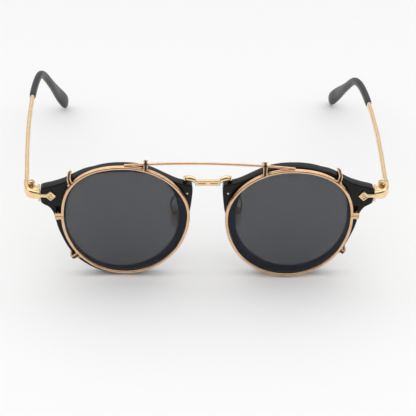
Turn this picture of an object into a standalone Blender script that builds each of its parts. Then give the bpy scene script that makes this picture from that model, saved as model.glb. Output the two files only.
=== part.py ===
"""Round acetate spectacles with a metal clip-on sun frame, standing open on a table.

All shapes are worked out in the front frame, in millimetres: X runs to the wearer's left, Y runs back
from the front face of the acetate towards the ears, and Z runs up from the table. The last step moves
the whole assembly so that the middle of its footprint is the world origin.
"""

import math

import bmesh
import bpy
from mathutils import Matrix, Vector

MM = 0.001

# ---- driving dimensions, in millimetres and degrees ----
LENS_CENTRE = (33.9, 25.0)        # X and Z of each eye's centre
ACETATE_THICK = 4.3
EDGE_ROUND = 0.55                 # chamfer on the acetate's edges
OPENING = dict(wide=22.5, up=23.2, down=23.5, top=2.7, nasal=2.7, bottom=1.98)
RIM_OUTSIDE = dict(wide=24.9, up=25.6, down=25.0, top=2.3, nasal=2.3, bottom=2.0)
GROOVE_DEPTH = 0.9
GROOVE_Y = 2.4

CLIP_CENTRE = (32.58, 28.95)      # widest height of each eyewire
CLIP_WIRE = dict(wide=24.94, up=21.8, down=27.0, top=2.38, nasal=1.92, bottom=2.01)   # its middle line
CLIP_TILT = 1.25                  # the clip-on sits this far out of level, lower on the wearer's left
CLIP_TILT_Z = 26.0
BLOCK_ANGLE = 1.3                 # where the closing block sits on the eyewire
BLOCK_GAP = 0.12                  # between the eyewire and the closing block
BLOCK_LONG = 2.3
BLOCK_SCREW = 1.35                # from the block's inner end to its screw
BLOCK_Y = -2.0                    # middle of the closing block and its screw
RING_TURN = 3.2                   # block and claws sit this far round from there, up on the wearer's left
CLIP_FRONT_Y = -3.1
CLIP_BACK_Y = -0.9
WIRE_THICK = 1.2
WIRE_GROOVE = 0.4
CLIP_LENS_Y = -2.0
BAR_HALF = 33.6                   # half the brow bar's length
BAR_END_Z = 51.85
BAR_RISE = 1.5

LENS_CURVE = 265.0                # radius of the lenses' faces
LENS_GAP = 0.3

HINGE_X = 69.8
HINGE_Y = 6.5
ARM_Z = 37.58                     # middle height of the end piece and of the temple's front end
ARM_TALL = 3.5                    # height of the band where it meets the temple
ELBOW_SWELL = 0.85                # extra height in the middle of the elbow
STEM_TALL = 3.0                   # height of the band where it leaves the rim
ARM_WIDE = 2.1
BARREL_R = 1.45
KNUCKLE_GAP = 0.1
MIDDLE_KNUCKLE = (36.8, 38.36)
BARREL_ENDS = (35.3, 39.85)
SCREW_R = 0.5

DIAMOND = (62.05, 37.6)
DIAMOND_HALF = (2.15, 2.15)
RIVET = (8.2, 38.5)
BRIDGE_BAR_HALF = 4.9
BRIDGE_BAR_Z = (41.7, 44.05)

TEMPLE_BUTT_Y = 8.4               # where the temple meets the end piece
TIP_START_Y = 82.3
TEMPLE_TILT = 1.25                # the wearer's left temple runs down by this angle, the right one up
TIP_END = (62.3, 141.0, 1.35)
TIP_END_SHIFT = (1.2, 2.2)        # the left tip ends this much further out and back, the right one less
CORE_R = 0.75
BORE_R = 1.0

PAD_CENTRE = (11.0, 10.9, 23.0)
PAD_FRONTAL = 22.0                # outward lean of the pad's lower end
PAD_SPLAY = 28.0                  # outward turn of the pad's back edge

CLIP_STEPS = 36
LENS_STEPS = 36
BAR_SIDES = 10                    # facets round a temple, a tip or an end piece
TEMPLE_STEPS = 3                  # points on each span of the temple's line
TIP_KNOT = 4                      # knot of that line where the tip starts
BEND_KNOT = 6                     # knot at the bend behind the ear
SIDES = {"left": 1, "right": -1}


# ---- materials ----
def material(name, colour, roughness, metallic, alpha=1.0):
    made = bpy.data.materials.new(name)
    made.use_nodes = True
    shader = made.node_tree.nodes["Principled BSDF"]
    shader.inputs["Base Color"].default_value = (*colour, 1.0)
    shader.inputs["Roughness"].default_value = roughness
    shader.inputs["Metallic"].default_value = metallic
    shader.inputs["Alpha"].default_value = alpha
    made.diffuse_color = (*colour, alpha)
    return made


def make_materials():
    return {
        "acetate": material("black_acetate", (0.012, 0.012, 0.013), 0.12, 0.0),
        "gold": material("pale_gold", (0.86, 0.62, 0.30), 0.22, 1.0),
        "rose": material("rose_gold", (0.84, 0.55, 0.33), 0.22, 1.0),
        "tip": material("temple_tip_black", (0.035, 0.036, 0.04), 0.35, 0.0),
        "steel": material("screw_steel", (0.72, 0.66, 0.55), 0.3, 1.0),
        "clear": material("clear_lens", (0.95, 0.96, 0.97), 0.05, 0.0, 0.15),
        "tint": material("smoke_lens", (0.08, 0.09, 0.11), 0.05, 0.0, 0.75),
        "silicone": material("silicone", (0.85, 0.86, 0.85), 0.3, 0.0, 0.5),
        "rubber": material("claw_rubber", (0.015, 0.013, 0.012), 0.6, 0.0),
    }


# ---- outlines ----
def panto_radius(shape, angle, offset=0.0):
    """Distance from the eye's centre to a rounded outline, squarer above the middle than below it."""
    c = math.cos(angle)
    s = math.sin(angle)
    if s < 0:
        power = shape["bottom"]
    elif c < 0:
        power = shape["nasal"]
    else:
        power = shape["top"]
    height = (shape["up"] if s >= 0 else shape["down"]) + offset
    total = (abs(c) / (shape["wide"] + offset)) ** power + (abs(s) / height) ** power
    return total ** (-1.0 / power)


def panto_loop(shape, centre, side, y, offset, angles):
    """A closed ring of points at depth y on a rounded outline, one for each angle."""
    points = []
    for angle in angles:
        r = panto_radius(shape, angle, offset)
        points.append(Vector((side * (centre[0] + r * math.cos(angle)), y, centre[1] + r * math.sin(angle))))
    return points


def even_angles(count, start=0.0, sweep=2 * math.pi):
    return [start + sweep * i / count for i in range(count)]


def spline(points, steps):
    """A Catmull-Rom curve through the points, with that many steps on each span."""
    knots = [Vector(p) for p in points]
    knots = [2 * knots[0] - knots[1], *knots, 2 * knots[-1] - knots[-2]]
    out = []
    for i in range(1, len(knots) - 2):
        a, b, c, d = knots[i - 1 : i + 3]
        for k in range(steps):
            t = k / steps
            out.append(
                0.5 * (2 * b + (c - a) * t + (2 * a - 5 * b + 4 * c - d) * t**2
                       + (3 * b - a - 3 * c + d) * t**3)
            )
    out.append(knots[-2])
    return out


def acetate_outline():
    """The acetate's outside for the wearer's left eye, as (X, Z) points running anticlockwise."""
    cx, cz = LENS_CENTRE

    def arc(first, last, count):
        angles = [math.radians(first + (last - first) * i / (count - 1)) for i in range(count)]
        reach = [panto_radius(RIM_OUTSIDE, a) for a in angles]
        return [(cx + r * math.cos(a), cz + r * math.sin(a)) for r, a in zip(reach, angles)]

    lug = [(59.1, 21.0), (60.3, 25.6), (61.1, 29.0), (62.7, 31.7), (65.0, 33.2), (66.0, 34.6),
           (66.0, 39.6), (65.2, 40.8), (61.0, 42.0), (56.6, 43.6), (52.3, 46.0), (48.4, 47.9)]
    nasal = [(18.6, 46.7), (12.9, 43.7), (9.5, 42.6), (6.9, 42.1), (6.05, 41.0), (6.0, 38.0), (6.7, 31.2),
             (7.4, 28.0), (8.5, 23.2)]
    lower = arc(195, 335, 15)
    upper = arc(66, 116, 6)
    temporal = spline([(p[0], p[1], 0) for p in [lower[-1], *lug, upper[0]]], 2)[1:-1]
    inner = spline([(p[0], p[1], 0) for p in [upper[-1], *nasal, lower[0]]], 1)[1:-1]
    flat = [Vector((p[0], p[1])) for p in temporal]
    flat_inner = [Vector((p[0], p[1])) for p in inner]
    return [Vector(p) for p in lower] + flat + [Vector(p) for p in upper] + flat_inner


def inset_outline(points, distance):
    """The outline moved inwards by a distance, square to its edge at each point."""
    moved = []
    count = len(points)
    for i, p in enumerate(points):
        along = (points[(i + 1) % count] - points[i - 1]).normalized()
        moved.append(p + Vector((-along.y, along.x)) * distance)
    return moved


# ---- mesh building ----
def loft(rings, cyclic=False):
    """A closed skin through rings of equal count. Open runs of rings are capped at both ends."""
    bm = bmesh.new()
    rows = [[bm.verts.new(p) for p in ring] for ring in rings]
    count = len(rows[0])
    pairs = list(zip(rows, rows[1:]))
    if cyclic:
        pairs.append((rows[-1], rows[0]))
    for a, b in pairs:
        for i in range(count):
            j = (i + 1) % count
            bm.faces.new((a[i], a[j], b[j], b[i]))
    if not cyclic:
        bm.faces.new(rows[0])
        bm.faces.new(rows[-1])
    bmesh.ops.recalc_face_normals(bm, faces=bm.faces)
    return bm


def frame_at(path, i, up):
    """Unit side and upright vectors square to a path at one of its points."""
    ahead = (path[min(i + 1, len(path) - 1)] - path[max(i - 1, 0)]).normalized()
    across = ahead.cross(up).normalized()
    return across, across.cross(ahead).normalized()


def superellipse(wide, tall, count, power=3.0):
    points = []
    for i in range(count):
        a = 2 * math.pi * (i + 0.5) / count
        r = (abs(math.cos(a)) ** power + abs(math.sin(a)) ** power) ** (-1 / power)
        points.append((wide / 2 * r * math.cos(a), tall / 2 * r * math.sin(a)))
    return points


def sweep_rings(path, section_at, up=Vector((0, 0, 1))):
    """Rings of section_at(i), a list of (across, upright) offsets, carried along a path."""
    rings = []
    for i, p in enumerate(path):
        across, upright = frame_at(path, i, up)
        rings.append([p + across * u + upright * v for u, v in section_at(i)])
    return rings


def tube(path, radius, sides=8, up=Vector((0, 0, 1))):
    """A round bar along a path. radius is a number, or one for each point."""
    def section(i):
        r = radius[i] if isinstance(radius, list) else radius
        return [(r * math.cos(a), r * math.sin(a)) for a in even_angles(sides)]

    return loft(sweep_rings(path, section, up))


def box(low, high, bevel=0.0):
    bm = bmesh.new()
    bmesh.ops.create_cube(bm, size=1.0)
    size = Vector(high) - Vector(low)
    middle = (Vector(high) + Vector(low)) / 2
    bmesh.ops.transform(bm, matrix=Matrix.Translation(middle) @ Matrix.Diagonal((*size, 1.0)), verts=bm.verts)
    if bevel:
        bmesh.ops.bevel(bm, geom=bm.edges[:], offset=bevel, segments=1, affect="EDGES")
    return bm


def cylinder(start, end, radius, sides=16):
    start = Vector(start)
    end = Vector(end)
    bm = bmesh.new()
    bmesh.ops.create_cone(bm, cap_ends=True, segments=sides, radius1=radius, radius2=radius,
                          depth=(end - start).length)
    turn = (end - start).to_track_quat("Z", "Y").to_matrix().to_4x4()
    bmesh.ops.transform(bm, matrix=Matrix.Translation((start + end) / 2) @ turn, verts=bm.verts)
    return bm


def on_side(bm, side):
    """Turns a piece of the wearer's left side into the right one where side is -1."""
    if side < 0:
        bmesh.ops.scale(bm, vec=(-1, 1, 1), verts=bm.verts)
        bmesh.ops.reverse_faces(bm, faces=bm.faces)
    return bm


def add(name, bm, surface, parent=None, pivot=(0, 0, 0), smooth=True):
    """Makes an object from a mesh in front-frame millimetres, with its origin at the pivot."""
    bmesh.ops.translate(bm, vec=-Vector(pivot), verts=bm.verts)
    bmesh.ops.scale(bm, vec=(MM, MM, MM), verts=bm.verts)
    bmesh.ops.recalc_face_normals(bm, faces=bm.faces)
    mesh = bpy.data.meshes.new(name)
    bm.to_mesh(mesh)
    bm.free()
    mesh.materials.append(surface)
    if smooth:
        mesh.shade_smooth()
        mesh.set_sharp_from_angle(angle=math.radians(35))
    made = bpy.data.objects.new(name, mesh)
    bpy.context.scene.collection.objects.link(made)
    made.location = Vector(pivot) * MM
    if parent is not None:
        made.location -= Vector(parent["front_point"]) * MM
        made.parent = parent
    return made


def add_axis(name, point, parent):
    """An empty on a joint's axis, which carries the pieces that turn or slide there."""
    empty = bpy.data.objects.new(name, None)
    bpy.context.scene.collection.objects.link(empty)
    empty["front_point"] = tuple(point)
    empty.location = Vector(point) * MM
    if parent is not None:
        empty.location -= Vector(parent["front_point"]) * MM
        empty.parent = parent
    return empty


def boolean(target, operation, bm, surface):
    """Joins a helper shape to an object, or cuts it away. The helper stays hidden."""
    helper = add(f"helper_{target.name}_{len(target.modifiers)}", bm, surface, smooth=False)
    helper.hide_render = True
    helper.display_type = "WIRE"
    helper.parent = target.parent
    origin = Vector(target.parent["front_point"]) * MM if target.parent else Vector((0, 0, 0))
    helper.location = -origin
    modifier = target.modifiers.new(f"{operation.lower()}_{len(target.modifiers)}", "BOOLEAN")
    modifier.operation = operation
    modifier.solver = "EXACT"
    modifier.object = helper
    return modifier


# ---- spectacle front ----
def make_acetate_rim(name, side, parent, surface):
    """Milled acetate rim with its temporal lug, nasal block, lens groove and two pin holes."""
    outline = acetate_outline()
    cx, cz = LENS_CENTRE
    angles = [math.atan2(p.y - cz, p.x - cx) for p in outline]
    soft = inset_outline(outline, EDGE_ROUND)

    def outer(points, y):
        return [Vector((p.x, y, p.y)) for p in points]

    def inner(offset, y):
        return panto_loop(OPENING, LENS_CENTRE, 1, y, offset, angles)

    back = ACETATE_THICK
    half_groove = 0.85
    loops = [
        outer(soft, 0.0),
        outer(outline, EDGE_ROUND),
        outer(outline, back - EDGE_ROUND),
        outer(soft, back),
        inner(0.25, back),
        inner(0.0, back - 0.25),
        inner(0.0, GROOVE_Y + half_groove),
        inner(GROOVE_DEPTH, GROOVE_Y + 0.35),
        inner(GROOVE_DEPTH, GROOVE_Y - 0.35),
        inner(0.0, GROOVE_Y - half_groove),
        inner(0.0, 0.3),
        inner(0.3, 0.0),
    ]
    rim = add(name, on_side(loft(loops, cyclic=True), side), surface, parent)
    for x, z, radius in ((*RIVET, 0.7), (*DIAMOND, 0.75)):
        hole = cylinder((x, -2, z), (x, back + 2, z), radius, 12)
        boolean(rim, "DIFFERENCE", on_side(hole, side), surface)
    return rim


def lens_mesh(shape, centre, edge_y, body_offset, apex_offset, thickness, apex):
    """A meniscus lens with a bevelled edge, its face bulging forwards."""
    angles = even_angles(LENS_STEPS)

    def sag(offset_share):
        radius = shape["wide"] * offset_share
        return radius**2 / (2 * LENS_CURVE)

    full = sag(1.0)
    rings = []
    for share in (0.55, 1.0):
        y = edge_y - thickness / 2 - (full - sag(share))
        rings.append([centre_blend(p, centre, share)
                      for p in panto_loop(shape, centre, 1, y, body_offset, angles)])
    rings.append(panto_loop(shape, centre, 1, edge_y - apex / 2, apex_offset, angles))
    rings.append(panto_loop(shape, centre, 1, edge_y + apex / 2, apex_offset, angles))
    for share in (1.0, 0.55):
        y = edge_y + thickness / 2 - (full - sag(share))
        rings.append([centre_blend(p, centre, share)
                      for p in panto_loop(shape, centre, 1, y, body_offset, angles)])
    bm = loft(rings)
    for face in [f for f in bm.faces if len(f.verts) > 4]:
        middle_y = face.verts[0].co.y - sag(0.55)
        poked = bmesh.ops.poke(bm, faces=[face])
        poked["verts"][0].co = Vector((centre[0], middle_y, centre[1]))
    return bm


def centre_blend(point, centre, share):
    """A ring point drawn towards the eye's centre."""
    x = centre[0] + (point.x - centre[0]) * share
    return Vector((x, point.y, centre[1] + (point.z - centre[1]) * share))


STRAP_SECTION = [(-1.1, -0.33), (1.1, -0.33), (1.1, 0.33), (-1.1, 0.33)]


def make_bridge(parent, surface):
    """Saddle bridge: an engraved bar, two arched arms, and straps down the back of each rim."""
    low, high = BRIDGE_BAR_Z
    block = box((-BRIDGE_BAR_HALF, 0.2, low), (BRIDGE_BAR_HALF, 1.6, high), 0.25)
    bar = add("bridge", block, surface, parent)
    for side in SIDES.values():
        arm = spline([(4.0, 0.95, 42.9), (4.9, 0.95, 43.3), (5.7, 1.1, 44.1), (6.7, 1.35, 44.5),
                      (7.9, 1.7, 44.25), (8.6, 1.9, 43.65)], 2)
        radii = [0.95, 0.92, 0.9, 0.9, 0.95, 1.0, 1.0, 0.98, 0.95, 0.92, 0.9]
        boolean(bar, "UNION", on_side(tube(arm, radii, 8, Vector((0, 1, 0))), side), surface)
        strap_path = spline([(8.5, 1.4, 43.35), (8.5, 4.5, 43.35), (8.4, 5.0, 42.6), (8.25, 5.0, 39.5),
                             (8.2, 5.0, 36.6)], 2)
        strap = loft(sweep_rings(strap_path, lambda i: STRAP_SECTION, Vector((0.0, 0.7, 0.71))))
        boolean(bar, "UNION", on_side(strap, side), surface)
        hole = cylinder((RIVET[0], 3.9, RIVET[1]), (RIVET[0], 6.5, RIVET[1]), 0.7, 12)
        boolean(bar, "DIFFERENCE", on_side(hole, side), surface)
        panel = box((0.35, -0.3, low + 0.6), (4.3, 0.42, high - 0.6))
        boolean(bar, "DIFFERENCE", on_side(panel, side), surface)
    return bar


def make_rivet(name, side, parent, surface):
    """Headed pin that holds the bridge strap and the pad arm to the rim."""
    x, z = RIVET
    profile = ((-0.15, 0.3), (0.0, 0.5), (6.55, 0.5), (6.6, 1.0), (7.0, 0.95), (7.2, 0.6))
    rings = [circle_xz(x, y, z, r, 12) for y, r in profile]
    return add(name, on_side(loft(rings), side), surface, parent)


def circle_xz(x, y, z, radius, sides):
    return [Vector((x + radius * math.cos(a), y, z + radius * math.sin(a))) for a in even_angles(sides)]


# ---- nose pads ----
def pad_axes():
    """Unit vectors of the wearer's left pad: down its length, back across it, and out towards the nose."""
    lean = math.radians(PAD_FRONTAL)
    splay = math.radians(PAD_SPLAY)
    down = Vector((math.sin(lean), 0.08, -math.cos(lean))).normalized()
    back = Vector((math.sin(splay), math.cos(splay), 0.0))
    back = (back - down * back.dot(down)).normalized()
    out = down.cross(back).normalized()
    if out.x > 0:
        out = -out
    return down, back, out


def in_pad(u, v, n):
    """A point from pad coordinates: u down the pad, v back across it, n out towards the nose."""
    down, back, out = pad_axes()
    return Vector(PAD_CENTRE) + down * u + back * v + out * n


def pad_block(u, v, n, bevel=0.0):
    """A box between the given (low, high) ranges of the pad's coordinates."""
    bm = box((u[0], v[0], n[0]), (u[1], v[1], n[1]), bevel)
    for vert in bm.verts:
        vert.co = in_pad(*vert.co)
    bmesh.ops.recalc_face_normals(bm, faces=bm.faces)
    return bm


PAD_SCREW_N = -2.35


def make_nose_pad(name, side, parent, surface, pivot):
    """Silicone pad with the lug that the pad screw goes through."""
    rings = []
    for n, share in ((1.25, 0.5), (1.0, 0.8), (0.4, 1.0), (-0.4, 0.97), (-0.9, 0.78), (-1.05, 0.5)):
        ring = []
        for a in even_angles(20):
            long = 6.9 + 0.7 * math.sin(a) ** 2
            ring.append(in_pad(long * share * math.cos(a), 3.9 * share * math.sin(a), n))
        rings.append(ring)
    pad = add(name, on_side(loft(rings), side), surface, parent, pivot)
    lug = pad_block((-0.8, 0.8), (-0.6, 0.6), (-2.9, -0.8))
    boolean(pad, "UNION", on_side(lug, side), surface)
    hole = cylinder(in_pad(0, -3, PAD_SCREW_N), in_pad(0, 3, PAD_SCREW_N), 0.45, 10)
    boolean(pad, "DIFFERENCE", on_side(hole, side), surface)
    return pad


def make_pad_arm(name, side, parent, surface):
    """Foot plate on the rim's back, curved wire, and the box that holds the pad's lug."""
    x, z = RIVET
    plate = box((x - 1.1, 5.6, z - 2.6), (x + 1.1, 6.3, z + 1.3), 0.15)
    arm = add(name, on_side(plate, side), surface, parent)
    wire = spline([(8.6, 5.95, 36.4), (9.0, 6.6, 34.6), (10.2, 8.0, 33.2), (12.6, 9.2, 31.6),
                   (14.2, 9.6, 28.4), in_pad(-1.2, 0.0, -4.3), in_pad(0.0, 0.0, -3.6)], 3)
    boolean(arm, "UNION", on_side(tube(wire, 0.5, 8, Vector((0, 1, 0.3))), side), surface)
    base = pad_block((-1.3, 1.3), (-1.2, 1.2), (-3.75, -3.2))
    boolean(arm, "UNION", on_side(base, side), surface)
    for low, high in ((-1.2, -0.75), (0.75, 1.2)):
        cheek = pad_block((-1.25, 1.25), (low, high), (-3.5, -1.55))
        boolean(arm, "UNION", on_side(cheek, side), surface)
    hole = cylinder(in_pad(0, -3, PAD_SCREW_N), in_pad(0, 3, PAD_SCREW_N), 0.45, 10)
    boolean(arm, "DIFFERENCE", on_side(hole, side), surface)
    rivet_hole = cylinder((x, 5, z), (x, 7, z), 0.7, 12)
    boolean(arm, "DIFFERENCE", on_side(rivet_hole, side), surface)
    return arm


def make_pad_screw(name, side, parent, surface):
    rings = []
    for v, r in ((-1.75, 0.45), (-1.7, 0.6), (-1.3, 0.6), (-1.28, 0.33), (1.5, 0.33)):
        middle = in_pad(0, v, PAD_SCREW_N)
        down, back, out = pad_axes()
        rings.append([middle + down * r * math.cos(a) + out * r * math.sin(a) for a in even_angles(10)])
    return add(name, on_side(loft(rings), side), surface, parent)


# ---- end pieces and temples ----
def elbow_path():
    """Middle line of the end piece's band, from the rim's edge round to the temple."""
    start, pull_out, pull_in, end = (Vector(p) for p in ((66.5, 0.6), (70.4, 0.3), (72.0, 2.6), (72.0, 8.2)))
    path = []
    for i in range(10):
        t = i / 9
        p = start * (1 - t) ** 3 + pull_out * 3 * t * (1 - t) ** 2 + pull_in * 3 * t**2 * (1 - t) + end * t**3
        path.append(Vector((p.x, p.y, ARM_Z)))
    return path


def make_end_piece(name, side, parent, surface):
    """Cast end piece: diamond, stem, collar plate, curved band, and a bracket with two hinge knuckles."""
    path = elbow_path()

    def band_section(i):
        share = i / (len(path) - 1)
        tall = STEM_TALL + (ARM_TALL - STEM_TALL) * share + ELBOW_SWELL * math.sin(math.pi * share)
        return superellipse(ARM_WIDE, tall, BAR_SIDES, 4.0)

    band = loft(sweep_rings(path, band_section))
    piece = add(name, on_side(band, side), surface, parent)
    collar = box((66.3, 0.1, 34.4), (67.15, 4.1, 40.4), 0.2)
    boolean(piece, "UNION", on_side(collar, side), surface)
    bracket = box((66.9, 2.0, 35.8), (69.4, 5.5, 38.9))
    boolean(piece, "UNION", on_side(bracket, side), surface)
    x, z = DIAMOND
    half_x, half_z = DIAMOND_HALF
    plaque_rings = []
    for y, share in ((-0.15, 1.0), (-0.6, 1.0), (-0.95, 0.84)):
        plaque_rings.append([Vector((x + half_x * share * cx, y, z + half_z * share * cz))
                             for cx, cz in ((1, 0), (0, 1), (-1, 0), (0, -1))])
    boolean(piece, "UNION", on_side(loft(plaque_rings), side), surface)
    stem = box((x + 1.6, -0.7, z - 0.68), (66.9, -0.17, z + 0.68))
    boolean(piece, "UNION", on_side(stem, side), surface)
    pin = cylinder((x, -0.5, z), (x, ACETATE_THICK - 0.2, z), 0.5, 12)
    boolean(piece, "UNION", on_side(pin, side), surface)
    socket = cylinder((x, -1.5, z), (x, -0.72, z), 0.85, 12)
    boolean(piece, "DIFFERENCE", on_side(socket, side), surface)
    low, high = MIDDLE_KNUCKLE
    room = cylinder((HINGE_X, HINGE_Y, low - KNUCKLE_GAP), (HINGE_X, HINGE_Y, high + KNUCKLE_GAP),
                    BARREL_R + 0.15, 16)
    boolean(piece, "DIFFERENCE", on_side(room, side), surface)
    for bottom, top in ((BARREL_ENDS[0], low - KNUCKLE_GAP), (high + KNUCKLE_GAP, BARREL_ENDS[1])):
        knuckle = cylinder((HINGE_X, HINGE_Y, bottom), (HINGE_X, HINGE_Y, top), BARREL_R, 16)
        boolean(piece, "UNION", on_side(knuckle, side), surface)
    bore = cylinder((HINGE_X, HINGE_Y, 33), (HINGE_X, HINGE_Y, 42), SCREW_R + 0.1, 12)
    boolean(piece, "DIFFERENCE", on_side(bore, side), surface)
    return piece


def make_hinge_screw(name, side, parent, surface):
    low, high = BARREL_ENDS
    rings = []
    for z, r in ((low - 0.3, SCREW_R), (high + 0.12, SCREW_R), (high + 0.15, 1.05), (high + 0.45, 1.0),
                 (high + 0.6, 0.75)):
        ring = []
        for a in even_angles(16):
            ring.append(Vector((HINGE_X + r * math.cos(a), HINGE_Y + r * math.sin(a), z)))
        rings.append(ring)
    screw = add(name, on_side(loft(rings), side), surface, parent)
    slot = box((HINGE_X - 2, HINGE_Y - 0.17, high + 0.36), (HINGE_X + 2, HINGE_Y + 0.17, high + 1.5))
    boolean(screw, "DIFFERENCE", on_side(slot, side), surface)
    return screw


def temple_line(side):
    """Middle line of one temple from the end piece to the bend, then down behind the ear to the table."""
    level = [(72.0, TEMPLE_BUTT_Y, ARM_Z), (72.1, 14.0, 37.45), (73.0, 35.0, 36.7), (73.5, 58.0, 35.8),
             (73.2, TIP_START_Y, 34.75), (72.2, 96.5, 34.3), (71.0, 105.3, 33.1), (69.6, 111.5, 29.9),
             (67.4, 119.7, 22.0), (65.3, 130.5, 12.2), (63.15, 137.0, 5.3), TIP_END]
    level = [Vector(p) for p in level]
    turn = Matrix.Rotation(-side * math.radians(TEMPLE_TILT), 3, "X")
    knots = [level[0] + turn @ (p - level[0]) for p in level[: BEND_KNOT + 1]]
    joint = knots[TIP_KNOT].y
    stretch = (TIP_END[1] + side * TIP_END_SHIFT[1] - joint) / (TIP_END[1] - joint)
    bend = knots[BEND_KNOT]
    for p in level[BEND_KNOT + 1 :]:
        down = (level[BEND_KNOT].z - p.z) / (level[BEND_KNOT].z - TIP_END[2])
        x = p.x + side * TIP_END_SHIFT[0] * down
        knots.append(Vector((x, p.y, bend.z + (TIP_END[2] - bend.z) * down)))
    for p in knots[TIP_KNOT + 1 :]:
        p.y = joint + (p.y - joint) * stretch
    return spline(knots, TEMPLE_STEPS)


def temple_lengths(path):
    total = [0.0]
    for a, b in zip(path, path[1:]):
        total.append(total[-1] + (b - a).length)
    return total


def split_line(side):
    """The temple's line cut where the tip starts: the bare metal part, and the part inside the tip."""
    path = temple_line(side)
    cut = TIP_KNOT * TEMPLE_STEPS
    return path[: cut + 1], path[cut:]


def make_temple(name, side, parent, surface, pivot):
    """Metal temple: tapering bar, core wire inside the tip, and the hinge's middle knuckle."""
    bare, covered = split_line(side)
    lengths = temple_lengths(bare)

    def bar_section(i):
        share = min(1.0, lengths[i] / 22.0)
        wide = ARM_WIDE + (1.9 - ARM_WIDE) * share
        tall = ARM_TALL + (2.5 - ARM_TALL) * share
        return superellipse(wide, tall, BAR_SIDES, 4.0 - 1.4 * share)

    ahead = (bare[-1] - bare[-2]).normalized()
    bare[-1] = bare[-1] - ahead * 0.3
    core = [bare[-1] + ahead * 0.05, *covered[1 : int(len(covered) * 0.8)]]
    path = bare + core

    def section(i):
        if i < len(bare):
            return bar_section(i)
        return superellipse(2 * CORE_R, 2 * CORE_R, BAR_SIDES, 2.0)

    temple = add(name, on_side(loft(sweep_rings(path, section)), side), surface, parent, pivot)
    low, high = MIDDLE_KNUCKLE
    leaf = box((HINGE_X - 0.6, HINGE_Y, low), (HINGE_X + 0.6, HINGE_Y + 3.2, high))
    boolean(temple, "UNION", on_side(leaf, side), surface)
    foot = box((HINGE_X - 0.55, TEMPLE_BUTT_Y + 0.1, low + 0.05), (HINGE_X + 1.8, 10.6, high - 0.05))
    boolean(temple, "UNION", on_side(foot, side), surface)
    knuckle = cylinder((HINGE_X, HINGE_Y, low), (HINGE_X, HINGE_Y, high), BARREL_R, 16)
    boolean(temple, "UNION", on_side(knuckle, side), surface)
    bore = cylinder((HINGE_X, HINGE_Y, 33), (HINGE_X, HINGE_Y, 42), SCREW_R + 0.1, 12)
    boolean(temple, "DIFFERENCE", on_side(bore, side), surface)
    return temple


def make_temple_tip(name, side, parent, surface, pivot):
    """Moulded ear tip, bored for the temple's core wire and widening to a paddle at its end."""
    path = split_line(side)[1]
    lengths = temple_lengths(path)
    total = lengths[-1]

    def section(i):
        share = lengths[i] / total
        paddle = min(1.0, max(0.0, (share - 0.5) / 0.42))
        swell = paddle * paddle * (3 - 2 * paddle)
        wide = 2.9 + 0.2 * swell
        tall = 3.4 + 2.7 * swell
        if share > 0.93:
            rounding = math.sqrt(max(0.02, 1 - ((share - 0.93) / 0.07) ** 2))
            tall *= 0.4 + 0.6 * rounding
            wide *= 0.5 + 0.5 * rounding
        return superellipse(wide, tall, BAR_SIDES, 2.3)

    outside = sweep_rings(path, section)
    bored = path[: int(len(path) * 0.8) + 2]
    inside = sweep_rings(bored, lambda i: superellipse(2 * BORE_R, 2 * BORE_R, BAR_SIDES, 2.0))
    bm = bmesh.new()
    rows = [[bm.verts.new(p) for p in ring] for ring in [*reversed(inside), *outside]]
    for a, b in zip(rows, rows[1:]):
        for i in range(BAR_SIDES):
            j = (i + 1) % BAR_SIDES
            bm.faces.new((a[i], a[j], b[j], b[i]))
    bm.faces.new(rows[0])
    bm.faces.new(rows[-1])
    return add(name, on_side(bm, side), surface, parent, pivot)


# ---- clip-on ----
def tilted_point(point, side):
    """Where a point of one side's clip-on goes when the clip-on tilts."""
    turn = math.radians(CLIP_TILT) * side
    height = point.z - CLIP_TILT_Z
    x = point.x * math.cos(turn) + height * math.sin(turn)
    z = CLIP_TILT_Z - point.x * math.sin(turn) + height * math.cos(turn)
    return Vector((x, point.y, z))


def tilted(bm, side):
    """A clip-on piece, still drawn on the left, seated at the tilt that its own side has."""
    for vert in bm.verts:
        vert.co = tilted_point(vert.co, side)
    return on_side(bm, side)


def ring_angle(degrees, side):
    """Where a fitting of one side's eyewire sits on it, as an angle about the eye's centre."""
    return math.radians(degrees + RING_TURN * side)


def block_corner(side):
    """X where the closing block starts, just clear of the eyewire, and the block's middle height."""
    angle = ring_angle(BLOCK_ANGLE, side)
    start = CLIP_CENTRE[0] + panto_radius(CLIP_WIRE, angle, WIRE_THICK / 2) * math.cos(angle) + BLOCK_GAP
    return start, CLIP_CENTRE[1] + panto_radius(CLIP_WIRE, angle) * math.sin(angle)


def make_clip_rim(name, side, parent, surface):
    """Eyewire of the clip-on: a grooved ring, split where the closing blocks join it."""
    slit = math.radians(0.35)
    count = CLIP_STEPS
    start = ring_angle(BLOCK_ANGLE, side) + slit
    angles = [start + (2 * math.pi - 2 * slit) * i / count for i in range(count + 1)]
    half = WIRE_THICK / 2
    front = CLIP_FRONT_Y
    back = CLIP_BACK_Y
    middle = (front + back) / 2
    profile = [(half, front + 0.25), (half - 0.25, front), (-half, front + 0.1), (-half, middle - 0.5),
               (-half + WIRE_GROOVE, middle - 0.3), (-half + WIRE_GROOVE, middle + 0.3),
               (-half, middle + 0.5),
               (-half, back), (half, back), (half, middle + 0.3), (half - 0.18, middle), (half, middle - 0.3)]
    rings = []
    for angle in angles:
        ring = []
        for offset, y in profile:
            r = panto_radius(CLIP_WIRE, angle, offset)
            x = CLIP_CENTRE[0] + r * math.cos(angle)
            ring.append(Vector((x, y, CLIP_CENTRE[1] + r * math.sin(angle))))
        rings.append(ring)
    return add(name, tilted(loft(rings), side), surface, parent)


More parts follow.
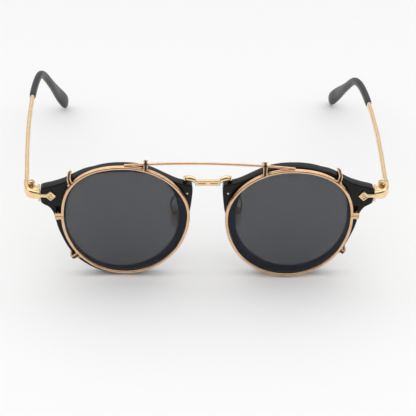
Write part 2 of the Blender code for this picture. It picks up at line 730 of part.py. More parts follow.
def make_closing_block(name, side, parent, surface, upper):
    """Half of the block that clamps the eyewire shut, bored for its screw."""
    start, middle = block_corner(side)
    low, high = (middle + 0.08, middle + 1.4) if upper else (middle - 1.4, middle - 0.08)
    blank = box((start, -2.8, low), (start + BLOCK_LONG, -1.2, high), 0.12)
    block = add(name, tilted(blank, side), surface, parent)
    x = start + BLOCK_SCREW
    hole = cylinder((x, BLOCK_Y, middle - 3), (x, BLOCK_Y, middle + 3), 0.45, 10)
    boolean(block, "DIFFERENCE", tilted(hole, side), surface)
    return block


def make_closing_screw(name, side, parent, surface):
    start, middle = block_corner(side)
    x = start + BLOCK_SCREW
    rings = []
    for z, r in ((-1.85, 0.4), (-1.75, 0.62), (-1.5, 0.62), (-1.48, 0.33), (1.2, 0.33)):
        around = [(x + r * math.cos(a), BLOCK_Y + r * math.sin(a)) for a in even_angles(10)]
        rings.append([Vector((px, py, middle + z)) for px, py in around])
    return add(name, tilted(loft(rings), side), surface, parent)


def brow_height(x):
    """Height of the level brow bar's middle line."""
    return BAR_END_Z + BAR_RISE * (1 - (x / BAR_HALF) ** 2)


def make_brow_bar(parent, surface):
    """Arched round bar that carries the two eyewires and rests on their tops."""
    path = []
    for i in range(17):
        x = BAR_HALF * (i / 8 - 1)
        path.append(Vector((x, -1.95, brow_height(x))))
    section = superellipse(1.0, 0.9, 8, 2.0)
    return add("clip_brow_bar", tilted(loft(sweep_rings(path, lambda i: section)), 1), surface, parent)


# Each claw: its angle on the eyewire, the direction it reaches in, and the knots of its arch. A knot says
# what its reach is measured from (the eyewire's outer face, the brow bar's middle or the acetate's edge), and
# then the reach and Y.
CLAWS = {
    "top_inner": dict(angle=113.9, lean=90.0, arch=(
        ("foot", 0.42, -2.95), ("bar", -0.6, -3.35), ("bar", 0.85, -2.95), ("bar", 1.15, -2.0),
        ("bar", 0.85, -1.0), ("edge", 2.3, 0.2), ("edge", 0.95, 1.5), ("edge", 0.85, 3.2),
        ("edge", 0.6, 4.9))),
    "top_outer": dict(angle=38.3, lean=62.0, arch=(
        ("foot", 0.55, -2.65), ("foot", 0.95, -2.85), ("edge", 0.85, -1.5),
        ("edge", 0.8, 0.6), ("edge", 0.7, 2.8), ("edge", 0.5, 4.7))),
    "lower_outer": dict(angle=-40.0, lean=-37.0, arch=(
        ("foot", 0.3, -2.5), ("foot", 1.6, -2.45), ("edge", 0.4, -1.8), ("edge", 0.75, -0.4),
        ("edge", 0.75, 1.5), ("edge", 0.7, 3.2), ("edge", 0.5, 4.8))),
}
CLAW_HALF_GAP = 0.62


def edge_reach(start, reach):
    """Distance from a point on the eyewire to the acetate's outside edge, along a direction."""
    outline = acetate_outline()
    for p, q in zip(outline, [*outline[1:], outline[0]]):
        step = q - p
        cross = reach.x * step.y - reach.z * step.x
        gap = Vector((p.x - start.x, p.y - start.z))
        if abs(cross) < 1e-6:
            continue
        distance = (gap.x * step.y - gap.y * step.x) / cross
        share = (gap.x * reach.z - gap.y * reach.x) / cross
        if 0 <= share <= 1 and abs(distance) < 6:
            return distance
    raise ValueError("the claw does not reach the acetate's edge")


def claw_frame(claw, side):
    """Foot on the eyewire, direction of reach, direction along the rim, and the tilt's slide of the foot."""
    angle = ring_angle(claw["angle"], side)

    def rim_point(a):
        r = panto_radius(CLIP_WIRE, a, WIRE_THICK / 2)
        return Vector((CLIP_CENTRE[0] + r * math.cos(a), 0, CLIP_CENTRE[1] + r * math.sin(a)))

    foot = rim_point(angle)
    ahead = rim_point(angle + 0.01) - rim_point(angle - 0.01)
    outward = Vector((ahead.z, 0, -ahead.x)).normalized()
    lean = math.radians(claw["lean"])
    reach = Vector((math.cos(lean), 0, math.sin(lean)))
    slide = (tilted_point(foot, side) - foot).dot(outward) / reach.dot(outward)
    return foot, reach, Vector((-reach.z, 0, reach.x)), slide


def claw_arch(claw, side, steps=2):
    """Points and outward normals along the claw's arch, and the direction along the rim."""
    foot, reach, along, slide = claw_frame(claw, side)
    bar = tilted_point(Vector((foot.x, 0, brow_height(foot.x))), side)
    base = {"foot": slide, "bar": bar.z - foot.z, "edge": edge_reach(foot, reach)}
    knots = [foot + reach * (base[start] + r) + Vector((0, y, 0)) for start, r, y in claw["arch"]]
    points = spline(knots, steps)
    normals = []
    for i in range(len(points)):
        ahead = (points[min(i + 1, len(points) - 1)] - points[max(i - 1, 0)]).normalized()
        normals.append(along.cross(ahead).normalized())
    if normals[len(normals) // 2].dot(reach) < 0:
        normals = [-n for n in normals]
    return points, normals, along


def make_claw(name, side, parent, surface, claw):
    """Hairpin of flat wire standing on edge: two legs over the rim's edge, joined at the back."""
    points, normals, along = claw_arch(claw, side)
    last = len(points) - 1

    def half_gap(i):
        splay = {0: 0.5, 1: 0.12}
        return CLAW_HALF_GAP + splay.get(i, 0.0)

    line = [(points[i] - along * half_gap(i), normals[i]) for i in range(last + 1)]
    ahead = (points[last] - points[last - 1]).normalized()
    line.append((points[last] + ahead * 0.42, normals[last]))
    line += [(points[i] + along * half_gap(i), normals[i]) for i in range(last, -1, -1)]
    rings = []
    for i, (p, normal) in enumerate(line):
        ahead = (line[min(i + 1, len(line) - 1)][0] - line[max(i - 1, 0)][0]).normalized()
        across = ahead.cross(normal).normalized()
        upright = across.cross(ahead).normalized()
        rings.append([p + across * u + upright * v for u, v in ((-0.2, -0.45), (0.2, -0.45), (0.2, 0.45),
                                                                (-0.2, 0.45))])
    return add(name, on_side(loft(rings), side), surface, parent)


def make_claw_pad(name, side, parent, surface, claw):
    """Rubber strip between the claw's legs, which bears on the acetate."""
    points, normals, along = claw_arch(claw, side)
    rings = []
    for p, normal in list(zip(points, normals))[1:]:
        rings.append([p + along * u + normal * v for u, v in ((-0.32, -0.42), (0.32, -0.42), (0.32, 0.3),
                                                              (-0.32, 0.3))])
    return add(name, on_side(loft(rings), side), surface, parent)


# ---- assembly ----
def clear_scene():
    for obj in list(bpy.data.objects):
        bpy.data.objects.remove(obj, do_unlink=True)


def build_front(root, surfaces):
    make_bridge(root, surfaces["gold"])
    for word, side in SIDES.items():
        make_acetate_rim(f"acetate_rim_{word}", side, root, surfaces["acetate"])
        lens = lens_mesh(OPENING, LENS_CENTRE, GROOVE_Y, -LENS_GAP, 0.5, 1.5, 0.3)
        add(f"base_lens_{word}", on_side(lens, side), surfaces["clear"], root)
        make_rivet(f"bridge_rivet_{word}", side, root, surfaces["steel"])
        make_pad_arm(f"pad_arm_{word}", side, root, surfaces["gold"])
        make_pad_screw(f"pad_screw_{word}", side, root, surfaces["steel"])
        make_end_piece(f"end_piece_{word}", side, root, surfaces["gold"])
        make_hinge_screw(f"hinge_screw_{word}", side, root, surfaces["steel"])


def build_moving_pads(root, surfaces):
    for word, side in SIDES.items():
        pivot = in_pad(0, 0, PAD_SCREW_N)
        pivot.x *= side
        axis = add_axis(f"axis_nose_pad_{word}", pivot, root)
        make_nose_pad(f"nose_pad_{word}", side, axis, surfaces["silicone"], pivot)


def build_temples(root, surfaces):
    for word, side in SIDES.items():
        pivot = (side * HINGE_X, HINGE_Y, ARM_Z)
        axis = add_axis(f"axis_temple_{word}", pivot, root)
        make_temple(f"temple_{word}", side, axis, surfaces["gold"], pivot)
        make_temple_tip(f"temple_tip_{word}", side, axis, surfaces["tip"], pivot)


def build_clip_on(root, surfaces):
    axis = add_axis("axis_clip_on", (0, 0, 0), root)
    make_brow_bar(axis, surfaces["rose"])
    for word, side in SIDES.items():
        make_clip_rim(f"clip_rim_{word}", side, axis, surfaces["rose"])
        inset = -WIRE_THICK / 2
        lens = lens_mesh(CLIP_WIRE, CLIP_CENTRE, CLIP_LENS_Y, inset - LENS_GAP, inset + 0.12,
                         0.9, 0.3)
        add(f"clip_lens_{word}", tilted(lens, side), surfaces["tint"], axis)
        make_closing_block(f"closing_block_upper_{word}", side, axis, surfaces["rose"], True)
        make_closing_block(f"closing_block_lower_{word}", side, axis, surfaces["rose"], False)
        make_closing_screw(f"closing_screw_{word}", side, axis, surfaces["steel"])
        for place, claw in CLAWS.items():
            make_claw(f"clip_claw_{place}_{word}", side, axis, surfaces["rose"], claw)
            make_claw_pad(f"claw_pad_{place}_{word}", side, axis, surfaces["rubber"], claw)


def centre_on_origin(root):
    """Moves the assembly so that the middle of its footprint, on the table, is the world origin."""
    bpy.context.view_layer.update()
    graph = bpy.context.evaluated_depsgraph_get()
    low = Vector((1e9, 1e9, 1e9))
    high = -low
    for obj in bpy.data.objects:
        if obj.type != "MESH" or obj.hide_render:
            continue
        shape = obj.evaluated_get(graph)
        for vert in shape.to_mesh().vertices:
            place = shape.matrix_world @ vert.co
            low = Vector(map(min, low, place))
            high = Vector(map(max, high, place))
        shape.to_mesh_clear()
    root.location = (-(low.x + high.x) / 2, -(low.y + high.y) / 2, -low.z)


def main():
    clear_scene()
    surfaces = make_materials()
    root = add_axis("spectacles", (0, 0, 0), None)
    build_front(root, surfaces)
    build_moving_pads(root, surfaces)
    build_temples(root, surfaces)
    build_clip_on(root, surfaces)
    centre_on_origin(root)


main()
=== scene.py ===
"""Looks of the clip-on sunglasses: fine surfaces, materials, floor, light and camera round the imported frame.

Shapes are worked out in the front frame, in millimetres: X runs to the wearer's left, Y runs back from the
front face of the acetate towards the ears, and Z runs up from the table. make_piece() then turns them into
metres and moves them onto the frame.
"""

import math

import bmesh
import bpy
from mathutils import Matrix, Vector


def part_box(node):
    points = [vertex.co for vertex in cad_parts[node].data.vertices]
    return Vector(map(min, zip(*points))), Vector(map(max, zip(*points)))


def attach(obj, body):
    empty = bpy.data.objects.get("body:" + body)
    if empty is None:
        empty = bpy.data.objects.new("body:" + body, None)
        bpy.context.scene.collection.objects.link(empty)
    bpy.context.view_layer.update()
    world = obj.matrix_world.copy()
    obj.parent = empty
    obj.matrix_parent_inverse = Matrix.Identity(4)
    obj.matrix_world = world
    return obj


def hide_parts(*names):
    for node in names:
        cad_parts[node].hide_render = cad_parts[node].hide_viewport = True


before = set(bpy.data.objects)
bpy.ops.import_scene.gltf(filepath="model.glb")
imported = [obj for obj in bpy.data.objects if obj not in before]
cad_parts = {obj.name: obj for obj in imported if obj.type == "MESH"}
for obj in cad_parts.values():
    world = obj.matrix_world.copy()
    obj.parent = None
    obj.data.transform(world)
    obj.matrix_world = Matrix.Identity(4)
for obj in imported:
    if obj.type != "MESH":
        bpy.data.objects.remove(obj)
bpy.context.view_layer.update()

MM = 0.001
FRONT_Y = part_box("acetate_rim_left")[0].y
SIDES = {"left": 1, "right": -1}

# ---- spectacle front, in millimetres ----
LENS_CENTRE = (33.9, 25.0)        # X and Z of each eye's centre
ACETATE_THICK = 4.3
EDGE_RADIUS = 0.6                 # rounding of the acetate's edges
OPENING = dict(wide=22.5, up=23.2, down=23.5, top=2.7, nasal=2.7, bottom=1.98)
RIM_OUTSIDE = dict(wide=24.9, up=25.6, down=25.0, top=2.3, nasal=2.3, bottom=2.0)
GROOVE_Y = 2.4
LENS_CURVE = 265.0                # radius of the lenses' faces
RIVET = (8.2, 38.5)               # X and Z of the pin through each rim
BRIDGE_BAR_HALF = 4.9
BRIDGE_BAR_Z = (41.7, 44.05)
PANEL_ENDS = (0.55, 4.25)         # engraved panel on each half of the bridge bar
PANEL_BORDER = 0.35               # from the panel's end to the line engraved in it
RIM_BORE_R = 0.55                 # the rivet's bore through the acetate
BORE_R = 0.6                      # its bores through the metal, and the plaque pin's bore

# ---- end pieces and temples ----
HINGE_X = 69.8
HINGE_Y = 6.5
ARM_Z = 37.58                     # middle height of the end piece and of the temple's front end
ARM_TALL = 3.5                    # height of the band where it meets the temple
ELBOW_SWELL = 0.85                # extra height in the middle of the elbow
STEM_TALL = 3.0                   # height of the band where it leaves the rim
ARM_WIDE = 2.1
BARREL_R = 1.45
MIDDLE_KNUCKLE = (36.8, 38.36)
BARREL_ENDS = (35.3, 39.85)
KNUCKLE_GAP = 0.1
HINGE_BORE_R = 0.58
DIAMOND = (62.05, 37.6)           # X and Z of the plaque's middle
DIAMOND_HALF = (2.15, 2.15)
DIAMOND_POWER = 1.12              # 1 gives sharp corners
TEMPLE_BUTT_Y = 8.4               # where the temple meets the end piece
TAPER_LONG = 24.0                 # the temple thins over this length from there
TIP_START_Y = 82.3
TEMPLE_TILT = math.radians(1.25)  # the wearer's left temple runs down by this angle, the right one up
TIP_END = (62.3, 141.0, 1.35)
TIP_END_SHIFT = (1.2, 2.2)        # the left tip ends this much further out and back, the right one less
PADDLE_START = 0.5                # share of the tip's length where it starts to widen
PADDLE_EASE = 0.42
ROUND_START = 0.93                # share where its end starts to round off
TEMPLE_STEPS = 10                 # points on each span of the temple's line
TIP_KNOT = 4                      # knot of that line where the tip starts
BEND_KNOT = 6                     # knot at the bend behind the ear

# ---- nose pads ----
PAD_CENTRE = (11.0, 10.9, 23.0)
PAD_FRONTAL = 22.0                # outward lean of the pad's lower end, in degrees
PAD_SPLAY = 28.0                  # outward turn of the pad's back edge, in degrees
PAD_SCREW_N = -2.35               # from the pad's middle to its screw, away from the nose

# ---- clip-on ----
CLIP_CENTRE = (32.58, 28.95)      # widest height of each eyewire
CLIP_WIRE = dict(wide=24.94, up=21.8, down=27.0, top=2.38, nasal=1.92, bottom=2.01)   # its middle line
CLIP_TILT = math.radians(1.25)    # the clip-on sits this far out of level, lower on the wearer's left
CLIP_TILT_Z = 26.0
CLIP_FRONT_Y = -3.1
CLIP_BACK_Y = -0.9
WIRE_THICK = 1.2
CLIP_LENS_Y = -2.0
BAR_HALF = 33.6                   # half the brow bar's length
BAR_END_Z = 51.85
BAR_RISE = 1.5
BLOCK_ANGLE = 1.3                 # where the closing block sits on the eyewire, in degrees
BLOCK_SCREW = 1.35                # from the block's inner end to its screw
BLOCK_Y = -2.0                    # middle of the closing block's screw
RING_TURN = 3.2                   # block and claws sit this far round from there, up on the wearer's left


# ---- outlines ----
def panto_radius(shape, angle, offset=0.0):
    """Distance from the eye's centre to a rounded outline, squarer above the middle than below it."""
    c = math.cos(angle)
    s = math.sin(angle)
    if s < 0:
        power = shape["bottom"]
    elif c < 0:
        power = shape["nasal"]
    else:
        power = shape["top"]
    height = (shape["up"] if s >= 0 else shape["down"]) + offset
    total = (abs(c) / (shape["wide"] + offset)) ** power + (abs(s) / height) ** power
    return total ** (-1.0 / power)


def panto_point(shape, centre, angle, y, offset=0.0):
    r = panto_radius(shape, angle, offset)
    return Vector((centre[0] + r * math.cos(angle), y, centre[1] + r * math.sin(angle)))


def turns(count, start=0.0, sweep=2 * math.pi):
    return [start + sweep * i / count for i in range(count)]


def spline(points, steps):
    """A Catmull-Rom curve through the points, with that many steps on each span."""
    knots = [Vector(p) for p in points]
    knots = [2 * knots[0] - knots[1], *knots, 2 * knots[-1] - knots[-2]]
    out = []
    for i in range(1, len(knots) - 2):
        a, b, c, d = knots[i - 1 : i + 3]
        for k in range(steps):
            t = k / steps
            out.append(
                0.5 * (2 * b + (c - a) * t + (2 * a - 5 * b + 4 * c - d) * t**2
                       + (3 * b - a - 3 * c + d) * t**3)
            )
    out.append(knots[-2])
    return out


def along(values, share):
    """A value read at a share from 0 to 1 along an evenly spaced list, eased between its entries."""
    place = max(0.0, min(1.0, share)) * (len(values) - 1)
    i = min(int(place), len(values) - 2)
    t = place - i
    t = t * t * (3 - 2 * t)
    return values[i] * (1 - t) + values[i + 1] * t


def acetate_outline():
    """The acetate's outside for the wearer's left eye, as (X, Z) points running anticlockwise."""
    cx, cz = LENS_CENTRE

    def arc(first, last, step):
        count = round((last - first) / step)
        points = []
        for i in range(count + 1):
            a = math.radians(first + (last - first) * i / count)
            r = panto_radius(RIM_OUTSIDE, a)
            points.append(Vector((cx + r * math.cos(a), cz + r * math.sin(a))))
        return points

    lug = [(59.1, 21.0), (60.3, 25.6), (61.1, 29.0), (62.7, 31.7), (65.0, 33.2), (66.0, 34.6), (66.0, 39.6),
           (65.2, 40.8), (61.0, 42.0), (56.6, 43.6), (52.3, 46.0), (48.4, 47.9)]
    nasal = [(18.6, 46.7), (12.9, 43.7), (9.5, 42.6), (6.9, 42.1), (6.05, 41.0), (6.0, 38.0), (6.7, 31.2),
             (7.4, 28.0), (8.5, 23.2)]
    lower = arc(195, 335, 2.5)
    upper = arc(66, 116, 2.5)

    def joined(before, knots, after, steps):
        whole = [before[-5], before[-1], *knots, after[0], after[4]]
        curve = spline([(p[0], p[1], 0) for p in whole], steps)[steps + 1 : -steps - 1]
        return [Vector((p.x, p.y)) for p in curve]

    return [*lower, *joined(lower, lug, upper, 7), *upper, *joined(upper, nasal, lower, 7)]


def inset_outline(points, distance):
    """The outline moved inwards by a distance, square to its edge at each point."""
    count = len(points)
    moved = []
    for i, p in enumerate(points):
        ahead = (points[(i + 1) % count] - points[i - 1]).normalized()
        moved.append(p + Vector((-ahead.y, ahead.x)) * distance)
    return moved


# ---- mesh building ----
def loft(rings, cyclic=False):
    """A closed skin through rings of equal count. Open runs of rings are capped at both ends."""
    bm = bmesh.new()
    rows = [[bm.verts.new(p) for p in ring] for ring in rings]
    count = len(rows[0])
    pairs = list(zip(rows, rows[1:]))
    if cyclic:
        pairs.append((rows[-1], rows[0]))
    for a, b in pairs:
        for i in range(count):
            j = (i + 1) % count
            bm.faces.new((a[i], a[j], b[j], b[i]))
    if not cyclic:
        bm.faces.new(rows[0])
        bm.faces.new(rows[-1])
    bmesh.ops.recalc_face_normals(bm, faces=bm.faces)
    return bm


def superellipse(wide, tall, count, power=3.0):
    points = []
    for a in turns(count, math.pi / count):
        r = (abs(math.cos(a)) ** power + abs(math.sin(a)) ** power) ** (-1 / power)
        points.append((wide / 2 * r * math.cos(a), tall / 2 * r * math.sin(a)))
    return points


def sweep_rings(path, section_at, up=Vector((0, 0, 1))):
    """Rings of section_at(share), a list of (across, upright) offsets, carried along a path."""
    rings = []
    last = len(path) - 1
    for i, p in enumerate(path):
        ahead = (path[min(i + 1, last)] - path[max(i - 1, 0)]).normalized()
        across = ahead.cross(up).normalized()
        upright = across.cross(ahead).normalized()
        rings.append([p + across * u + upright * v for u, v in section_at(i / last)])
    return rings


def round_bar(path, radii, sides=20, up=Vector((0, 0, 1))):
    """A round bar along a path with rounded ends. radii are read evenly along it."""
    length = sum((b - a).length for a, b in zip(path, path[1:]))

    def section(share):
        r = along(radii, share)
        end = min(share, 1 - share) * length / r
        r *= math.sqrt(max(0.02, 1 - (1 - min(1.0, end)) ** 2))
        return [(r * math.cos(a), r * math.sin(a)) for a in turns(sides)]

    return loft(sweep_rings(path, section, up))


def turned(point, axis, profile, sides=28):
    """A turned shape: (distance along the axis, radius) stations from a point."""
    axis = Vector(axis).normalized()
    side = axis.orthogonal().normalized()
    third = axis.cross(side)
    rings = []
    for distance, r in profile:
        middle = Vector(point) + axis * distance
        rings.append([middle + side * r * math.cos(a) + third * r * math.sin(a) for a in turns(sides)])
    return loft(rings)


def rod(start, end, radius, sides=28, edge=0.0):
    """A cylinder from start to end, with its edges rounded off by a radius."""
    axis = Vector(end) - Vector(start)
    length = axis.length
    profile = [(0.0, radius - edge)]
    if edge:
        for i in range(1, 4):
            a = math.pi / 2 * i / 4
            profile.append((edge * (1 - math.cos(a)), radius - edge + edge * math.sin(a)))
    profile.append((edge, radius))
    profile += [(length - d, r) for d, r in reversed(profile)]
    return turned(start, axis, profile, sides)


def block(low, high, edge=0.1, segments=3):
    """A box with rounded edges."""
    bm = bmesh.new()
    bmesh.ops.create_cube(bm, size=1.0)
    size = Vector(high) - Vector(low)
    middle = (Vector(high) + Vector(low)) / 2
    bmesh.ops.transform(bm, matrix=Matrix.Translation(middle) @ Matrix.Diagonal((*size, 1.0)), verts=bm.verts)
    if edge:
        bmesh.ops.bevel(bm, geom=bm.edges[:], offset=edge, segments=segments, profile=0.5, affect="EDGES")
    return bm


def ball(point, radius):
    bm = bmesh.new()
    bmesh.ops.create_icosphere(bm, subdivisions=3, radius=radius, matrix=Matrix.Translation(Vector(point)))
    return bm


def temporary(bm):
    mesh = bpy.data.meshes.new("temporary")
    bm.to_mesh(mesh)
    bm.free()
    made = bpy.data.objects.new("temporary", mesh)
    bpy.context.scene.collection.objects.link(made)
    return made


def fused(parts, cuts=()):
    """One closed mesh: the union of the parts, less the cuts."""
    base = temporary(parts[0])
    helpers = []
    for operation, shapes in (("UNION", parts[1:]), ("DIFFERENCE", cuts)):
        for shape in shapes:
            helper = temporary(shape)
            modifier = base.modifiers.new("cut", "BOOLEAN")
            modifier.operation = operation
            modifier.solver = "EXACT"
            modifier.object = helper
            helpers.append(helper)
    graph = bpy.context.evaluated_depsgraph_get()
    bm = bmesh.new()
    bm.from_mesh(base.evaluated_get(graph).to_mesh())
    for obj in (base, *helpers):
        bpy.data.objects.remove(obj)
    return bm


def make_piece(name, bm, side, surface, body, nodes, sharp=38.0):
    """Turns a mesh in front-frame millimetres into a piece that rides on a body and stands for CAD nodes."""
    if side < 0:
        bmesh.ops.scale(bm, vec=(-1, 1, 1), verts=bm.verts)
        bmesh.ops.reverse_faces(bm, faces=bm.faces)
    bmesh.ops.scale(bm, vec=(MM, MM, MM), verts=bm.verts)
    bmesh.ops.translate(bm, vec=(0, FRONT_Y, 0), verts=bm.verts)
    mesh = bpy.data.meshes.new(name)
    bm.to_mesh(mesh)
    bm.free()
    mesh.materials.append(surface)
    mesh.shade_smooth()
    mesh.set_sharp_from_angle(angle=math.radians(sharp))
    made = bpy.data.objects.new(name, mesh)
    bpy.context.scene.collection.objects.link(made)
    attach(made, body)
    if nodes:
        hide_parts(*nodes)
    return made


# ---- materials ----
def principled(name, colour, roughness, metallic=0.0):
    made = bpy.data.materials.new(name)
    made.use_nodes = True
    shader = made.node_tree.nodes["Principled BSDF"]
    shader.inputs["Base Color"].default_value = (*colour, 1.0)
    shader.inputs["Roughness"].default_value = roughness
    shader.inputs["Metallic"].default_value = metallic
    return made, shader


def noise(material, scale, detail=3.0, stretch=(1, 1, 1)):
    """A noise texture in object space. Scale is in cycles for each metre."""
    nodes = material.node_tree.nodes
    links = material.node_tree.links
    place = nodes.new("ShaderNodeTexCoord")
    mapping = nodes.new("ShaderNodeMapping")
    mapping.inputs["Scale"].default_value = stretch
    texture = nodes.new("ShaderNodeTexNoise")
    texture.inputs["Scale"].default_value = scale
    texture.inputs["Detail"].default_value = detail
    links.new(place.outputs["Object"], mapping.inputs["Vector"])
    links.new(mapping.outputs["Vector"], texture.inputs["Vector"])
    return texture


def vary(material, shader, socket, texture, low, high):
    """Drives a socket between two values by a noise texture."""
    spread = material.node_tree.nodes.new("ShaderNodeMapRange")
    spread.inputs["From Min"].default_value = 0.3
    spread.inputs["From Max"].default_value = 0.7
    spread.inputs["To Min"].default_value = low
    spread.inputs["To Max"].default_value = high
    material.node_tree.links.new(texture.outputs["Fac"], spread.inputs["Value"])
    material.node_tree.links.new(spread.outputs["Result"], shader.inputs[socket])


def tint(material, shader, texture, dark, light):
    """Blends the base colour between two colours by a noise texture."""
    ramp = material.node_tree.nodes.new("ShaderNodeValToRGB")
    ramp.color_ramp.elements[0].position = 0.3
    ramp.color_ramp.elements[0].color = (*dark, 1.0)
    ramp.color_ramp.elements[1].position = 0.7
    ramp.color_ramp.elements[1].color = (*light, 1.0)
    material.node_tree.links.new(texture.outputs["Fac"], ramp.inputs["Fac"])
    material.node_tree.links.new(ramp.outputs["Color"], shader.inputs["Base Color"])


def bump(material, shader, texture, strength, distance):
    made = material.node_tree.nodes.new("ShaderNodeBump")
    made.inputs["Strength"].default_value = strength
    made.inputs["Distance"].default_value = distance
    material.node_tree.links.new(texture.outputs["Fac"], made.inputs["Height"])
    material.node_tree.links.new(made.outputs["Normal"], shader.inputs["Normal"])


def polished_acetate():
    """Black acetate with a deep polish, faint buffing haze and a barely wavy surface."""
    made, shader = principled("polished_black_acetate", (0.004, 0.004, 0.0045), 0.1)
    shader.inputs["IOR"].default_value = 1.48
    shader.inputs["Specular IOR Level"].default_value = 0.23
    tint(made, shader, noise(made, 260, 2.0), (0.003, 0.003, 0.0033), (0.0075, 0.007, 0.0072))
    vary(made, shader, "Roughness", noise(made, 900, 4.0), 0.07, 0.16)
    bump(made, shader, noise(made, 140, 2.0), 0.12, 0.0004)
    return made


def plated_metal(name, dark, light, smooth, rough):
    """Polished plating: small shifts of colour, buffing haze and fine ripples from the wire underneath."""
    made, shader = principled(name, light, smooth, 1.0)
    tint(made, shader, noise(made, 420, 3.0), dark, light)
    vary(made, shader, "Roughness", noise(made, 2600, 5.0, (1.0, 0.35, 1.0)), smooth, rough)
    bump(made, shader, noise(made, 3800, 3.0, (1.0, 0.4, 1.0)), 0.1, 0.00004)
    return made


def satin_tip():
    """Dark moulded ear tip with a soft satin face."""
    made, shader = principled("satin_temple_tip", (0.03, 0.03, 0.032), 0.36)
    shader.inputs["Specular IOR Level"].default_value = 0.4
    tint(made, shader, noise(made, 500, 3.0), (0.013, 0.013, 0.0145), (0.022, 0.022, 0.024))
    vary(made, shader, "Roughness", noise(made, 1800, 4.0), 0.3, 0.42)
    bump(made, shader, noise(made, 9000, 2.0), 0.15, 0.00003)
    return made


def lens_surface(name, colour, alpha, rough):
    """Optical surface: see-through by its alpha, with a faint wiping haze in its gloss."""
    made, shader = principled(name, colour, rough)
    shader.inputs["Alpha"].default_value = alpha
    shader.inputs["IOR"].default_value = 1.5
    shader.inputs["Specular IOR Level"].default_value = 0.3
    vary(made, shader, "Roughness", noise(made, 120, 3.0), rough, rough + 0.02)
    return made


def clear_silicone():
    made, shader = principled("clear_silicone", (0.86, 0.87, 0.86), 0.22)
    shader.inputs["Alpha"].default_value = 0.34
    shader.inputs["IOR"].default_value = 1.41
    shader.inputs["Subsurface Weight"].default_value = 0.2
    vary(made, shader, "Roughness", noise(made, 1500, 3.0), 0.16, 0.32)
    bump(made, shader, noise(made, 2500, 2.0), 0.1, 0.00004)
    return made


def claw_rubber():
    made, shader = principled("claw_rubber", (0.012, 0.01, 0.009), 0.5)
    tint(made, shader, noise(made, 2500, 3.0), (0.008, 0.007, 0.006), (0.02, 0.016, 0.013))
    bump(made, shader, noise(made, 6000, 2.0), 0.3, 0.00005)
    return made


def make_materials():
    return {
        "acetate": polished_acetate(),
        "gold": plated_metal("pale_gold_plating", (0.88, 0.63, 0.34), (0.95, 0.74, 0.45), 0.11, 0.22),
        "rose": plated_metal("rose_gold_plating", (0.72, 0.46, 0.27), (0.83, 0.57, 0.36), 0.11, 0.22),
        "screw": plated_metal("plated_screw", (0.62, 0.52, 0.38), (0.78, 0.68, 0.52), 0.18, 0.3),
        "tip": satin_tip(),
        "clear": lens_surface("clear_lens_surface", (0.9, 0.92, 0.93), 0.07, 0.01),
        "smoke": lens_surface("smoke_lens_surface", (0.006, 0.0105, 0.021), 0.7, 0.05),
        "silicone": clear_silicone(),
        "rubber": claw_rubber(),
    }


# ---- spectacle front ----
def rounded_steps(radius, count):
    """(inset, depth) stations round a quarter of a rounded edge, from the face to the side."""
    steps = []
    for i in range(count + 1):
        a = math.pi / 2 * i / count
        steps.append((radius * (1 - math.sin(a)), radius * (1 - math.cos(a))))
    return steps


def acetate_rim():
    """Milled rim with rounded edges, a softly pillowed face, and the lens groove."""
    outline = acetate_outline()
    cx, cz = LENS_CENTRE
    angles = [math.atan2(p.y - cz, p.x - cx) for p in outline]
    back = ACETATE_THICK
    inner_round = 0.35

    def outer(inset, y):
        return [Vector((p.x, y, p.y)) for p in inset_outline(outline, inset)]

    def inner(offset, y):
        return [panto_point(OPENING, LENS_CENTRE, a, y, offset) for a in angles]

    def face(y, pillow):
        """Loops across a face, from the outside to the opening, raised a little in between."""
        first = outer(EDGE_RADIUS, y)
        last = inner(inner_round, y)
        loops = []
        for share in (0.2, 0.4, 0.6, 0.8):
            rise = pillow * 4 * share * (1 - share)
            loops.append([a.lerp(b, share) + Vector((0, rise, 0)) for a, b in zip(first, last)])
        return loops

    quarter = rounded_steps(EDGE_RADIUS, 5)
    small = rounded_steps(inner_round, 3)
    half_groove = 0.85
    loops = [outer(inset, depth) for inset, depth in quarter]
    loops += [outer(inset, back - depth) for inset, depth in reversed(quarter)]
    loops += face(back, 0.08)
    loops += [inner(inset, back - depth) for inset, depth in small]
    loops += [
        inner(0.0, GROOVE_Y + half_groove),
        inner(0.9, GROOVE_Y + 0.35),
        inner(0.9, GROOVE_Y - 0.35),
        inner(0.0, GROOVE_Y - half_groove),
    ]
    loops += [inner(inset, depth) for inset, depth in reversed(small)]
    loops += list(reversed(face(0.0, -0.1)))
    rim = loft(loops, cyclic=True)
    holes = [rod((RIVET[0], -2, RIVET[1]), (RIVET[0], back + 2, RIVET[1]), RIM_BORE_R),
             rod((DIAMOND[0], -2, DIAMOND[1]), (DIAMOND[0], back + 2, DIAMOND[1]), BORE_R)]
    return fused([rim], holes)


def meniscus(shape, centre, edge_y, body_offset, apex_offset, thickness, apex):
    """A lens with a bevelled edge, its face bulging forwards."""
    angles = turns(120)

    def back_off(share):
        """How far a point of the face lies behind the middle of the lens."""
        return (shape["wide"] * share) ** 2 / (2 * LENS_CURVE)

    def ring(y, offset, share=1.0):
        edge = [panto_point(shape, centre, a, y, offset) for a in angles]
        middle = Vector((centre[0], y, centre[1]))
        return [middle.lerp(p, share) for p in edge]

    shares = (0.02, 0.2, 0.4, 0.6, 0.8, 0.92, 1.0)
    full = back_off(1.0)
    rings = [ring(edge_y - thickness / 2 - full + back_off(s), body_offset, s) for s in shares]
    rings += [ring(edge_y - apex / 2, apex_offset), ring(edge_y + apex / 2, apex_offset)]
    rings += [ring(edge_y + thickness / 2 - full + back_off(s), body_offset, s) for s in reversed(shares)]
    return loft(rings)


